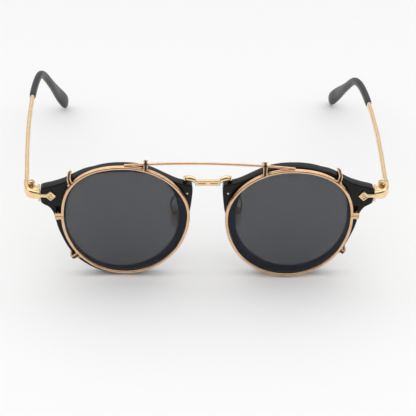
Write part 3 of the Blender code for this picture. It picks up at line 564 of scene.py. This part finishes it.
def bridge():
    """Saddle bridge: an engraved bar, two arms that curl up over the rims, and straps behind them."""
    low, high = BRIDGE_BAR_Z
    parts = [block((-BRIDGE_BAR_HALF, 0.15, low), (BRIDGE_BAR_HALF, 1.7, high), 0.42, 4)]
    cuts = []
    middle = (low + high) / 2
    for side in SIDES.values():
        knots = [(3.9, 1.0, 42.95), (4.5, 1.0, 43.1), (5.2, 1.0, 43.7), (6.1, 1.15, 44.4), (7.2, 1.45, 44.6),
                 (8.2, 1.8, 44.2), (8.65, 2.05, 43.6)]
        arm_radii = [0.85, 0.7, 0.85, 1.1, 1.2, 1.15, 1.0]
        arm = round_bar(spline([(side * x, y, z) for x, y, z in knots], 6), arm_radii, 24, Vector((0, 1, 0)))
        parts.append(arm)
        strap_knots = [(8.5, 1.5, 43.5), (8.5, 4.0, 43.75), (8.45, 4.95, 43.0), (8.3, 5.0, 41.5),
                       (8.2, 5.0, 38.5), (8.2, 5.0, 36.4)]
        path = spline([(side * x, y, z) for x, y, z in strap_knots], 6)
        strap_section = superellipse(2.1, 0.64, 20, 4.0)
        parts.append(loft(sweep_rings(path, lambda share: strap_section, Vector((0, 0.7, 0.71)))))
        start, end = PANEL_ENDS
        ends = sorted((side * start, side * end))
        cuts.append(block((ends[0], -0.4, middle - 0.66), (ends[1], 0.32, middle + 0.66), 0.1, 2))
        ends = sorted((side * (start + PANEL_BORDER), side * (end - PANEL_BORDER)))
        cuts.append(block((ends[0], -0.4, middle - 0.2), (ends[1], 0.62, middle + 0.2), 0.04, 1))
        cuts.append(rod((side * RIVET[0], 3.9, RIVET[1]), (side * RIVET[0], 6.5, RIVET[1]), BORE_R))
    cuts.append(block((-0.09, -0.4, middle - 0.75), (0.09, 0.3, middle + 0.75), 0.03, 1))
    return fused(parts, cuts)


def rivet():
    """Domed pin that holds the bridge strap and the pad arm to the rim."""
    profile = [(-0.32, 0.08), (-0.28, 0.3), (-0.16, 0.48), (0.0, 0.53), (6.4, 0.5), (6.45, 1.0), (6.85, 0.98),
               (7.1, 0.75), (7.22, 0.35), (7.25, 0.05)]
    return turned((RIVET[0], 0, RIVET[1]), (0, 1, 0), profile)


# ---- nose pads ----
def pad_axes():
    """Unit vectors of the wearer's left pad: down its length, back across it, and out towards the nose."""
    lean = math.radians(PAD_FRONTAL)
    splay = math.radians(PAD_SPLAY)
    down = Vector((math.sin(lean), 0.08, -math.cos(lean))).normalized()
    back = Vector((math.sin(splay), math.cos(splay), 0.0))
    back = (back - down * back.dot(down)).normalized()
    out = down.cross(back).normalized()
    if out.x > 0:
        out = -out
    return down, back, out


def in_pad(u, v, n):
    """A point from pad coordinates: u down the pad, v back across it, n out towards the nose."""
    down, back, out = pad_axes()
    return Vector(PAD_CENTRE) + down * u + back * v + out * n


def pad_block(u, v, n, edge=0.12):
    """A rounded box between the given (low, high) ranges of the pad's coordinates."""
    bm = block((u[0], v[0], n[0]), (u[1], v[1], n[1]), edge)
    for vert in bm.verts:
        vert.co = in_pad(*vert.co)
    bmesh.ops.recalc_face_normals(bm, faces=bm.faces)
    return bm


def pad_disc(stations, long, wide, sides=56):
    """An egg-shaped disc from (height, share of full size) stations."""
    rings = []
    for n, share in stations:
        ring = []
        for a in turns(sides):
            fuller = 1.0 + 0.1 * math.cos(a)
            ring.append(in_pad(long * share * math.cos(a), wide * share * fuller * math.sin(a), n))
        rings.append(ring)
    return loft(rings)


def pad_bore():
    """Cutter for the screw's hole through the pad's lug and its box."""
    return rod(in_pad(0, -3, PAD_SCREW_N), in_pad(0, 3, PAD_SCREW_N), 0.4)


def nose_pad():
    """Clear silicone cushion with rounded edges, and the lug that the pad screw goes through."""
    stations = [(1.25, 0.05), (1.22, 0.35), (1.1, 0.66), (0.85, 0.86), (0.45, 0.97), (0.0, 1.0), (-0.4, 0.97),
                (-0.75, 0.88), (-0.98, 0.7), (-1.08, 0.4), (-1.1, 0.05)]
    lug = pad_block((-0.8, 0.8), (-0.58, 0.58), (-2.9, -0.7))
    return fused([pad_disc(stations, 7.2, 3.9), lug], [pad_bore()])


def pad_core():
    """Thin stiffening plate seen inside the silicone."""
    return pad_disc([(-0.3, 0.9), (-0.2, 1.0), (-0.05, 1.0), (0.05, 0.9)], 4.6, 2.0)


def pad_arm():
    """Foot plate on the rim's back, curved wire, and the box that holds the pad's lug."""
    x, z = RIVET
    foot = block((x - 1.1, 5.6, z - 2.6), (x + 1.1, 6.25, z + 1.3), 0.2)
    knots = [(8.5, 5.95, 36.6), (9.0, 6.6, 34.6), (10.2, 8.0, 33.4), (12.6, 9.2, 31.8), (14.2, 9.6, 28.6),
             in_pad(-1.2, 0.0, -4.3), in_pad(0.0, 0.0, -3.5)]
    wire = round_bar(spline(knots, 8), [0.5, 0.5, 0.46, 0.46, 0.46, 0.5], 20, Vector((0, 1, 0.3)))
    base = pad_block((-1.3, 1.3), (-1.2, 1.2), (-3.75, -3.2))
    cheeks = [pad_block((-1.25, 1.25), across, (-3.5, -1.55)) for across in ((-1.2, -0.75), (0.75, 1.2))]
    cuts = [pad_bore(), rod((x, 5, z), (x, 7, z), BORE_R)]
    return fused([foot, wire, base, *cheeks], cuts)


def slotted_screw(point, axis, profile, slot_at, slot_depth, slot_width=0.26):
    """A turned screw whose head has a straight slot."""
    axis = Vector(axis).normalized()
    screw = turned(point, axis, profile)
    across = axis.orthogonal().normalized()
    third = axis.cross(across)
    slot = block((-3, -slot_width / 2, 0), (3, slot_width / 2, slot_depth), 0.0)
    turn = Matrix((across, third, axis)).transposed().to_4x4()
    turn.translation = Vector(point) + axis * slot_at
    bmesh.ops.transform(slot, matrix=turn, verts=slot.verts)
    bmesh.ops.recalc_face_normals(slot, faces=slot.faces)
    return fused([screw], [slot])


def pad_screw():
    profile = [(0.0, 0.4), (0.06, 0.55), (0.15, 0.6), (0.45, 0.6), (0.47, 0.33), (3.25, 0.33), (3.3, 0.2)]
    return slotted_screw(in_pad(0, -1.75, PAD_SCREW_N), pad_axes()[1], profile, -0.5, 0.65, 0.16)


# ---- end pieces and temples ----
def elbow_path(steps):
    """Middle line of the end piece's band, from the rim's edge round to the temple."""
    start, pull_out, pull_in, end = (Vector(p) for p in ((66.4, 0.6), (70.4, 0.3), (72.0, 2.6), (72.0, 8.2)))
    path = []
    for i in range(steps + 1):
        t = i / steps
        p = start * (1 - t) ** 3 + pull_out * 3 * t * (1 - t) ** 2 + pull_in * 3 * t**2 * (1 - t) + end * t**3
        path.append(Vector((p.x, p.y, ARM_Z)))
    return path


def diamond_slab(y_stations):
    """The plaque's lozenge as rings at (Y, share of full size) stations, its corners slightly eased."""
    x, z = DIAMOND
    half_x, half_z = DIAMOND_HALF
    rings = []
    for y, share in y_stations:
        ring = []
        for a in turns(48):
            c, s = math.cos(a), math.sin(a)
            r = (abs(c) ** DIAMOND_POWER + abs(s) ** DIAMOND_POWER) ** (-1 / DIAMOND_POWER)
            ring.append(Vector((x + half_x * share * r * c, y, z + half_z * share * r * s)))
        rings.append(ring)
    return loft(rings)


def hinge_rod(low, high, radius, sides=40, edge=0.0):
    """An upright rod on the hinge's axis."""
    return rod((HINGE_X, HINGE_Y, low), (HINGE_X, HINGE_Y, high), radius, sides, edge)


def end_piece():
    """Cast end piece: bordered plaque with plain strokes, stem, collar, curved band and two knuckles."""
    x, z = DIAMOND

    def band_section(share):
        tall = STEM_TALL + (ARM_TALL - STEM_TALL) * share + ELBOW_SWELL * math.sin(math.pi * share)
        return superellipse(ARM_WIDE, tall, 32, 3.0)

    band = loft(sweep_rings(elbow_path(40), band_section))
    bracket = block((66.9, 2.0, 35.8), (69.4, 5.5, 38.9), 0.3)
    collar = block((66.25, 0.1, 34.4), (67.15, 4.1, 40.4), 0.3)
    plaque = diamond_slab([(-0.12, 1.0), (-0.76, 1.0), (-0.9, 0.97), (-0.98, 0.9)])
    stem_rings = []
    for share in (0.0, 0.2, 0.4, 0.6, 0.8, 1.0):
        wide = along([1.0, 0.72, 0.72, 1.15], share)
        px = x + 1.3 + (67.0 - x - 1.3) * share
        stem_rings.append([Vector((px, -0.42 + v, z + u)) for u, v in superellipse(2 * wide, 0.66, 24, 2.6)])
    stem = loft(stem_rings)
    pin = rod((x, -0.5, z), (x, ACETATE_THICK - 0.2, z), 0.5)
    parts = [band, collar, bracket, plaque, stem, pin]
    recess = diamond_slab([(-1.5, 0.7), (-0.62, 0.66)])
    low, high = MIDDLE_KNUCKLE
    low -= KNUCKLE_GAP
    high += KNUCKLE_GAP
    body = fused(parts, [recess, hinge_rod(low, high, BARREL_R + 0.15)])
    knuckles = [hinge_rod(BARREL_ENDS[0], low, BARREL_R, edge=0.1),
                hinge_rod(high, BARREL_ENDS[1], BARREL_R, edge=0.1)]
    strokes = [block((x - 0.7, -0.9, z + rise - 0.12), (x + 0.7, -0.5, z + rise + 0.12), 0.04, 1)
               for rise in (-0.36, 0.36)]
    strokes.append(block((x - 0.12, -0.9, z - 0.8), (x + 0.12, -0.5, z + 0.8), 0.04, 1))
    return fused([body, *knuckles, *strokes], [hinge_rod(33, 42, HINGE_BORE_R, 28)])


def hinge_screw():
    low, high = BARREL_ENDS
    length = high - low
    profile = [(-0.3, 0.4), (-0.25, 0.5), (length + 0.06, 0.5), (length + 0.08, 1.08), (length + 0.3, 1.12),
               (length + 0.48, 1.02), (length + 0.58, 0.8)]
    return slotted_screw((HINGE_X, HINGE_Y, low), (0, 0, 1), profile, length + 0.2, 1.0, 0.34)


def temple_line(side):
    """Middle line of one temple from the end piece to the bend, then down behind the ear to the table."""
    level = [(72.0, TEMPLE_BUTT_Y, ARM_Z), (72.1, 14.0, 37.45), (73.0, 35.0, 36.7), (73.5, 58.0, 35.8),
             (73.2, TIP_START_Y, 34.75), (72.2, 96.5, 34.3), (71.0, 105.3, 33.1), (69.6, 111.5, 29.9),
             (67.4, 119.7, 22.0), (65.3, 130.5, 12.2), (63.15, 137.0, 5.3), TIP_END]
    level = [Vector(p) for p in level]
    turn = Matrix.Rotation(-side * TEMPLE_TILT, 3, "X")
    knots = [level[0] + turn @ (p - level[0]) for p in level[: BEND_KNOT + 1]]
    joint = knots[TIP_KNOT].y
    stretch = (TIP_END[1] + side * TIP_END_SHIFT[1] - joint) / (TIP_END[1] - joint)
    bend = knots[BEND_KNOT]
    for p in level[BEND_KNOT + 1 :]:
        down = (level[BEND_KNOT].z - p.z) / (level[BEND_KNOT].z - TIP_END[2])
        x = p.x + side * TIP_END_SHIFT[0] * down
        knots.append(Vector((x, p.y, bend.z + (TIP_END[2] - bend.z) * down)))
    for p in knots[TIP_KNOT + 1 :]:
        p.y = joint + (p.y - joint) * stretch
    return spline(knots, TEMPLE_STEPS)


def temple(side):
    """Metal temple: tapering bar, core wire inside the tip, and the hinge's middle knuckle."""
    line = temple_line(side)
    bare = line[: TIP_KNOT * TEMPLE_STEPS + 1]
    ahead = (bare[-1] - bare[-2]).normalized()
    bare[-1] = bare[-1] - ahead * 0.1
    total = sum((b - a).length for a, b in zip(bare, bare[1:]))

    def section(share):
        ease = min(1.0, share * total / TAPER_LONG)
        ease = ease * ease * (3 - 2 * ease)
        return superellipse(ARM_WIDE - 0.2 * ease, ARM_TALL - 1.0 * ease, 28, 3.0 - 0.5 * ease)

    bar = loft(sweep_rings(bare, section))
    core = loft(sweep_rings([bare[-1] - ahead * 2, *line[TIP_KNOT * TEMPLE_STEPS + 3 : -25]],
                            lambda s: superellipse(1.5, 1.5, 16, 2.0)))
    low, high = MIDDLE_KNUCKLE
    leaf = block((HINGE_X - 0.6, HINGE_Y, low), (HINGE_X + 0.6, HINGE_Y + 3.2, high), 0.05, 1)
    foot_start = (HINGE_X - 0.55, TEMPLE_BUTT_Y + 0.1, low + 0.05)
    foot = block(foot_start, (HINGE_X + 1.8, 10.6, high - 0.05), 0.05, 1)
    knuckle = hinge_rod(low, high, BARREL_R, edge=0.08)
    return fused([bar, core, leaf, foot, knuckle], [hinge_rod(33, 42, HINGE_BORE_R, 28)])


def temple_tip(side):
    """Moulded ear tip, bored for the temple's core wire and widening to a paddle at its end."""
    line = temple_line(side)[TIP_KNOT * TEMPLE_STEPS :]
    last = len(line) - 1
    sides = 32
    lengths = [0.0]
    for a, b in zip(line, line[1:]):
        lengths.append(lengths[-1] + (b - a).length)

    def outside(share):
        share = lengths[round(share * last)] / lengths[-1]
        paddle = min(1.0, max(0.0, (share - PADDLE_START) / PADDLE_EASE))
        swell = paddle * paddle * (3 - 2 * paddle)
        wide = 2.85 + 0.2 * swell
        tall = 3.35 + 2.75 * swell
        if share > ROUND_START:
            rounding = math.sqrt(max(0.0, 1 - ((share - ROUND_START) / (1 - ROUND_START)) ** 2))
            tall *= 0.2 + 0.8 * rounding
            wide *= 0.3 + 0.7 * rounding
        if share < 0.01:
            wide -= 0.5
            tall -= 0.5
        return superellipse(wide, tall, sides, 2.3)

    skin = sweep_rings(line, outside)
    bore = sweep_rings(line[: int(len(line) * 0.7)], lambda s: superellipse(1.8, 1.8, sides, 2.0))
    return loft([*reversed(bore), *skin])


# ---- clip-on ----
def tilted_point(point, side):
    """Where a point of one side's clip-on goes when the clip-on tilts."""
    turn = CLIP_TILT * side
    height = point.z - CLIP_TILT_Z
    x = point.x * math.cos(turn) + height * math.sin(turn)
    z = CLIP_TILT_Z - point.x * math.sin(turn) + height * math.cos(turn)
    return Vector((x, point.y, z))


def tilted(bm, side):
    """A clip-on piece, still drawn on the left, seated at the tilt that its own side has."""
    for vert in bm.verts:
        vert.co = tilted_point(vert.co, side)
    return bm


def ring_angle(degrees, side):
    """Where a fitting of one side's eyewire sits on it, as an angle about the eye's centre."""
    return math.radians(degrees + RING_TURN * side)


def clip_rim(side):
    """Eyewire of the clip-on: two rounded beads with a channel between them, split at the closing block."""
    start = ring_angle(BLOCK_ANGLE, side)
    slit = math.radians(0.2)
    half = WIRE_THICK / 2
    front, back = CLIP_FRONT_Y, CLIP_BACK_Y
    middle = (front + back) / 2
    front_bead = [(half, front + 0.42), (half - 0.1, front + 0.2), (half - 0.34, front + 0.04), (0.0, front),
                  (-half + 0.3, front + 0.05), (-half + 0.08, front + 0.22), (-half, front + 0.45)]
    lens_groove = [(-half, middle - 0.5), (-half + 0.4, middle - 0.3), (-half + 0.4, middle + 0.3),
                   (-half, middle + 0.5)]
    back_bead = [(-half, back - 0.3), (-half + 0.2, back - 0.06), (0.0, back), (half - 0.25, back - 0.05),
                 (half, back - 0.3)]
    outer_channel = [(half, middle + 0.32), (half - 0.12, middle + 0.2), (half - 0.24, middle),
                     (half - 0.12, middle - 0.2), (half, middle - 0.32)]
    profile = front_bead + lens_groove + back_bead + outer_channel
    rings = []
    for angle in turns(220, start + slit, 2 * math.pi - 2 * slit) + [start - slit]:
        rings.append([panto_point(CLIP_WIRE, CLIP_CENTRE, angle, y, offset) for offset, y in profile])
    return loft(rings)


def block_corner(side):
    """X where the closing block starts, and its middle height."""
    angle = ring_angle(BLOCK_ANGLE, side)
    start = panto_point(CLIP_WIRE, CLIP_CENTRE, angle, 0, WIRE_THICK / 2).x
    middle = panto_point(CLIP_WIRE, CLIP_CENTRE, angle, 0).z
    return start, middle


def closing_block(side, upper):
    x, middle = block_corner(side)
    low, high = (middle + 0.04, middle + 1.4) if upper else (middle - 1.4, middle - 0.04)
    body = block((x - 0.15, -2.85, low), (x + 2.4, -1.15, high), 0.16)
    x += BLOCK_SCREW
    return fused([body], [rod((x, BLOCK_Y, middle - 3), (x, BLOCK_Y, middle + 3), 0.38)])


def closing_screw(side):
    x, middle = block_corner(side)
    profile = [(0.0, 0.35), (0.08, 0.56), (0.16, 0.62), (0.38, 0.62), (0.4, 0.33), (3.0, 0.33), (3.1, 0.2)]
    return slotted_screw((x + BLOCK_SCREW, BLOCK_Y, middle - 1.85), (0, 0, 1), profile, -0.6, 0.75, 0.18)


def brow_height(x):
    """Height of the level brow bar's middle line."""
    return BAR_END_Z + BAR_RISE * (1 - (x / BAR_HALF) ** 2)


def brow_bar():
    """Arched round bar that carries the two eyewires, thinned a little where it rests on their tops."""
    path = []
    for i in range(97):
        x = BAR_HALF * (i / 48 - 1)
        path.append(Vector((x, -1.95, brow_height(x))))

    def section(share):
        to_end = min(share, 1 - share) * 2 * BAR_HALF
        flat = 1.0 - 0.2 * max(0.0, 1 - to_end / 2.5)
        return superellipse(1.0, 0.95 * flat, 24, 2.1)

    return loft(sweep_rings(path, section))


# Each claw: its angle on the eyewire, the direction it reaches in, and the knots of its arch. A knot says
# what its reach is measured from (the eyewire's outer face, the brow bar's middle or the acetate's edge), and
# then the reach and Y.
CLAWS = {
    "top_inner": dict(angle=113.9, lean=90.0, arch=(
        ("foot", 0.0, -2.75), ("foot", 0.5, -3.0), ("bar", -0.6, -3.35), ("bar", 0.85, -2.95),
        ("bar", 1.15, -2.0), ("bar", 0.85, -1.0), ("edge", 2.3, 0.2), ("edge", 0.95, 1.5),
        ("edge", 0.85, 3.2), ("edge", 0.6, 4.9))),
    "top_outer": dict(angle=38.3, lean=62.0, arch=(
        ("foot", 0.0, -2.5), ("foot", 0.42, -2.65), ("foot", 0.85, -2.8), ("edge", 0.85, -1.5),
        ("edge", 0.8, 0.6), ("edge", 0.7, 2.8), ("edge", 0.5, 4.7))),
    "lower_outer": dict(angle=-40.0, lean=-37.0, arch=(
        ("foot", 0.0, -2.4), ("foot", 0.6, -2.45), ("foot", 1.6, -2.45), ("edge", 0.4, -1.8),
        ("edge", 0.75, -0.4), ("edge", 0.75, 1.5), ("edge", 0.7, 3.2), ("edge", 0.5, 4.8))),
}
CLAW_HALF_GAP = 0.62              # from a claw's middle to each of its legs


def edge_reach(start, reach):
    """Distance from a point on the eyewire to the acetate's outside edge, along a direction."""
    outline = acetate_outline()
    for p, q in zip(outline, [*outline[1:], outline[0]]):
        step = q - p
        cross = reach.x * step.y - reach.z * step.x
        gap = Vector((p.x - start.x, p.y - start.z))
        if abs(cross) < 1e-6:
            continue
        distance = (gap.x * step.y - gap.y * step.x) / cross
        share = (gap.x * reach.z - gap.y * reach.x) / cross
        if 0 <= share <= 1 and abs(distance) < 6:
            return distance
    raise ValueError("the claw does not reach the acetate's edge")


def claw_arch(claw, side, steps):
    """Points and outward normals along the claw's arch, and the direction along the rim."""
    angle = ring_angle(claw["angle"], side)
    foot, before, after = (panto_point(CLIP_WIRE, CLIP_CENTRE, a, 0, WIRE_THICK / 2)
                           for a in (angle, angle - 0.01, angle + 0.01))
    outward = Vector((after.z - before.z, 0, before.x - after.x)).normalized()
    lean = math.radians(claw["lean"])
    reach = Vector((math.cos(lean), 0, math.sin(lean)))
    beside = Vector((-reach.z, 0, reach.x))
    slide = (tilted_point(foot, side) - foot).dot(outward) / reach.dot(outward)
    bar = tilted_point(Vector((foot.x, 0, brow_height(foot.x))), side)
    base = {"foot": slide, "bar": bar.z - foot.z, "edge": edge_reach(foot, reach)}
    knots = [foot + reach * (base[start] + r) + Vector((0, y, 0)) for start, r, y in claw["arch"]]
    points = spline(knots, steps)
    normals = []
    for i in range(len(points)):
        ahead = (points[min(i + 1, len(points) - 1)] - points[max(i - 1, 0)]).normalized()
        normals.append(beside.cross(ahead).normalized())
    if normals[len(normals) // 2].dot(reach) < 0:
        normals = [-n for n in normals]
    return points, normals, beside


def claw_wire(claw, side):
    """Hairpin of flattened wire with splayed feet: two legs over the rim's edge, joined at the back."""
    points, normals, beside = claw_arch(claw, side, 6)
    last = len(points) - 1

    def offset(i):
        splay = max(0.0, 1 - i / 7.0)
        return CLAW_HALF_GAP + 0.62 * splay * splay

    line = [(points[i] - beside * offset(i), normals[i]) for i in range(last + 1)]
    ahead = (points[last] - points[last - 1]).normalized()
    for k in range(1, 10):
        a = math.pi * k / 10
        swing = ahead * math.sin(a) * CLAW_HALF_GAP - beside * math.cos(a) * CLAW_HALF_GAP
        line.append((points[last] + swing, normals[last]))
    line += [(points[i] + beside * offset(i), normals[i]) for i in range(last, -1, -1)]
    rings = []
    for i, (p, normal) in enumerate(line):
        direction = (line[min(i + 1, len(line) - 1)][0] - line[max(i - 1, 0)][0]).normalized()
        across = direction.cross(normal).normalized()
        upright = across.cross(direction).normalized()
        rings.append([p + across * u + upright * v for u, v in superellipse(0.46, 0.86, 16, 2.6)])
    feet = [ball(line[0][0], 0.42), ball(line[-1][0], 0.42)]
    return fused([loft(rings), *feet])


def claw_lining(claw, side):
    """Dark rubber between the claw's legs, which bears on the acetate."""
    points, normals, beside = claw_arch(claw, side, 6)
    rings = []
    for p, normal in list(zip(points, normals))[4:]:
        rings.append([p + beside * u + normal * (v - 0.06) for u, v in superellipse(0.82, 0.74, 12, 3.5)])
    return loft(rings)


# ---- assembly ----
def dress_front(surfaces):
    """Rims, clear lenses, bridge, pad wires, end pieces and their screws."""
    make_piece("saddle_bridge", bridge(), 1, surfaces["gold"], "front", ["bridge"])
    for word, side in SIDES.items():
        make_piece(f"polished_rim_{word}", acetate_rim(), side, surfaces["acetate"], "front",
                   [f"acetate_rim_{word}"], 50.0)
        lens = meniscus(OPENING, LENS_CENTRE, GROOVE_Y, -0.05, 0.6, 1.5, 0.3)
        make_piece(f"clear_lens_{word}", lens, side, surfaces["clear"], "front", [f"base_lens_{word}"])
        make_piece(f"bridge_pin_{word}", rivet(), side, surfaces["screw"], "front", [f"bridge_rivet_{word}"])
        make_piece(f"pad_wire_{word}", pad_arm(), side, surfaces["gold"], "front", [f"pad_arm_{word}"])
        make_piece(f"pad_bolt_{word}", pad_screw(), side, surfaces["screw"], "front", [f"pad_screw_{word}"])
        make_piece(f"cast_end_piece_{word}", end_piece(), side, surfaces["gold"], "front",
                   [f"end_piece_{word}"])
        make_piece(f"hinge_bolt_{word}", hinge_screw(), side, surfaces["screw"], "front",
                   [f"hinge_screw_{word}"])


def dress_pads(surfaces):
    for word, side in SIDES.items():
        make_piece(f"silicone_pad_{word}", nose_pad(), side, surfaces["silicone"], f"pad_{word}",
                   [f"nose_pad_{word}"])
        make_piece(f"pad_core_{word}", pad_core(), side, surfaces["screw"], f"pad_{word}", [])


def dress_temples(surfaces):
    for word, side in SIDES.items():
        body = f"temple_{word}_arm"
        make_piece(f"temple_bar_{word}", temple(side), side, surfaces["gold"], body, [f"temple_{word}"])
        make_piece(f"ear_tip_{word}", temple_tip(side), side, surfaces["tip"], body, [f"temple_tip_{word}"],
                   60.0)


def dress_clip_on(surfaces):
    """Brow bar, eyewires, smoke lenses, closing blocks and claws."""
    rose = surfaces["rose"]

    def clip_piece(name, bm, side, surface, nodes, sharp=38.0):
        make_piece(name, tilted(bm, side), side, surface, "clip_on", nodes, sharp)

    clip_piece("clip_bar", brow_bar(), 1, rose, ["clip_brow_bar"])
    for word, side in SIDES.items():
        clip_piece(f"clip_eyewire_{word}", clip_rim(side), side, rose, [f"clip_rim_{word}"],
                   50.0)
        inset = -WIRE_THICK / 2
        lens = meniscus(CLIP_WIRE, CLIP_CENTRE, CLIP_LENS_Y, inset - 0.08, inset + 0.22, 0.9, 0.3)
        clip_piece(f"smoke_lens_{word}", lens, side, surfaces["smoke"], [f"clip_lens_{word}"])
        for half in ("upper", "lower"):
            clip_piece(f"clamp_{half}_{word}", closing_block(side, half == "upper"), side, rose,
                       [f"closing_block_{half}_{word}"])
        clip_piece(f"clamp_bolt_{word}", closing_screw(side), side, surfaces["screw"],
                   [f"closing_screw_{word}"])
        for place, claw in CLAWS.items():
            make_piece(f"claw_{place}_{word}", claw_wire(claw, side), side, rose, "clip_on",
                       [f"clip_claw_{place}_{word}"])
            make_piece(f"claw_lining_{place}_{word}", claw_lining(claw, side), side, surfaces["rubber"],
                       "clip_on", [f"claw_pad_{place}_{word}"])


# ---- stage ----
def make_floor():
    bpy.ops.mesh.primitive_plane_add(size=6.0, location=(0, 0, -0.0001))
    floor = bpy.context.object
    floor.name = "floor"
    made, shader = principled("pale_floor", (0.84, 0.84, 0.84), 0.7)
    shader.inputs["Specular IOR Level"].default_value = 0.2
    floor.data.materials.append(made)


def add_area(name, place, aim, size, power, glossy=True):
    """A rectangular light at a place, aimed at a point, left out of mirror reflections if not glossy."""
    light = bpy.data.lights.new(name, "AREA")
    light.shape = "RECTANGLE"
    light.size, light.size_y = size
    light.energy = power
    made = bpy.data.objects.new(name, light)
    bpy.context.scene.collection.objects.link(made)
    made.location = place
    made.rotation_euler = (Vector(aim) - Vector(place)).to_track_quat("-Z", "Y").to_euler()
    made.visible_glossy = glossy


def make_world():
    """Studio surroundings: a bright wall behind and overhead, fading to a darker room in front."""
    world = bpy.data.worlds.new("studio")
    bpy.context.scene.world = world
    world.use_nodes = True
    nodes = world.node_tree.nodes
    links = world.node_tree.links
    place = nodes.new("ShaderNodeTexCoord")
    facing = nodes.new("ShaderNodeVectorMath")
    facing.operation = "DOT_PRODUCT"
    facing.inputs[1].default_value = (0.0, 0.5, 0.87)
    ramp = nodes.new("ShaderNodeValToRGB")
    stops = ((0.0, 0.12), (0.22, 0.12), (0.5, 0.6), (0.8, 1.0))
    while len(ramp.color_ramp.elements) < len(stops):
        ramp.color_ramp.elements.new(0.5)
    for element, (position, grey) in zip(ramp.color_ramp.elements, stops):
        element.position = position
        element.color = (grey, grey, grey, 1.0)
    links.new(place.outputs["Generated"], facing.inputs[0])
    links.new(facing.outputs["Value"], ramp.inputs["Fac"])
    links.new(ramp.outputs["Color"], nodes["Background"].inputs["Color"])
    nodes["Background"].inputs["Strength"].default_value = 0.9


def make_light():
    make_world()
    add_area("overhead", (0.0, 0.15, 1.2), (0, 0, 0), (2.2, 1.8), 7.5)
    add_area("left_panel", (-1.1, -0.1, 0.6), (0, 0, 0.02), (0.8, 0.9), 2.0)
    add_area("right_panel", (1.1, -0.1, 0.6), (0, 0, 0.02), (0.8, 0.9), 2.0)
    add_area("front_fill", (0.0, -1.2, 0.9), (0, 0, 0), (2.4, 1.4), 9.5, False)
    bpy.context.scene.view_settings.view_transform = "Standard"


def make_camera():
    """Camera a little to the wearer's right of the middle, 32 degrees above the table, with a slight roll."""
    azimuth, elevation, roll = (math.radians(v) for v in (-2.6, 32.34, 1.4))
    distance = 0.801
    back = Vector((math.sin(azimuth) * math.cos(elevation), -math.cos(azimuth) * math.cos(elevation),
                   math.sin(elevation)))
    level = (-back).cross(Vector((0, 0, 1))).normalized()
    upright = level.cross(-back)
    right = level * math.cos(roll) + upright * math.sin(roll)
    up = upright * math.cos(roll) - level * math.sin(roll)
    target = Vector((3.0 * MM, 60 * MM + FRONT_Y, -6.41 * MM))
    lens = bpy.data.cameras.new("camera")
    lens.sensor_width = 36.0
    lens.lens = 158.7
    lens.clip_start = 0.01
    made = bpy.data.objects.new("camera", lens)
    bpy.context.scene.collection.objects.link(made)
    placed = Matrix((right, up, back)).transposed().to_4x4()
    placed.translation = target + back * distance
    made.matrix_world = placed
    bpy.context.scene.camera = made


def main():
    surfaces = make_materials()
    dress_front(surfaces)
    dress_pads(surfaces)
    dress_temples(surfaces)
    dress_clip_on(surfaces)
    make_floor()
    make_light()
    make_camera()


main()
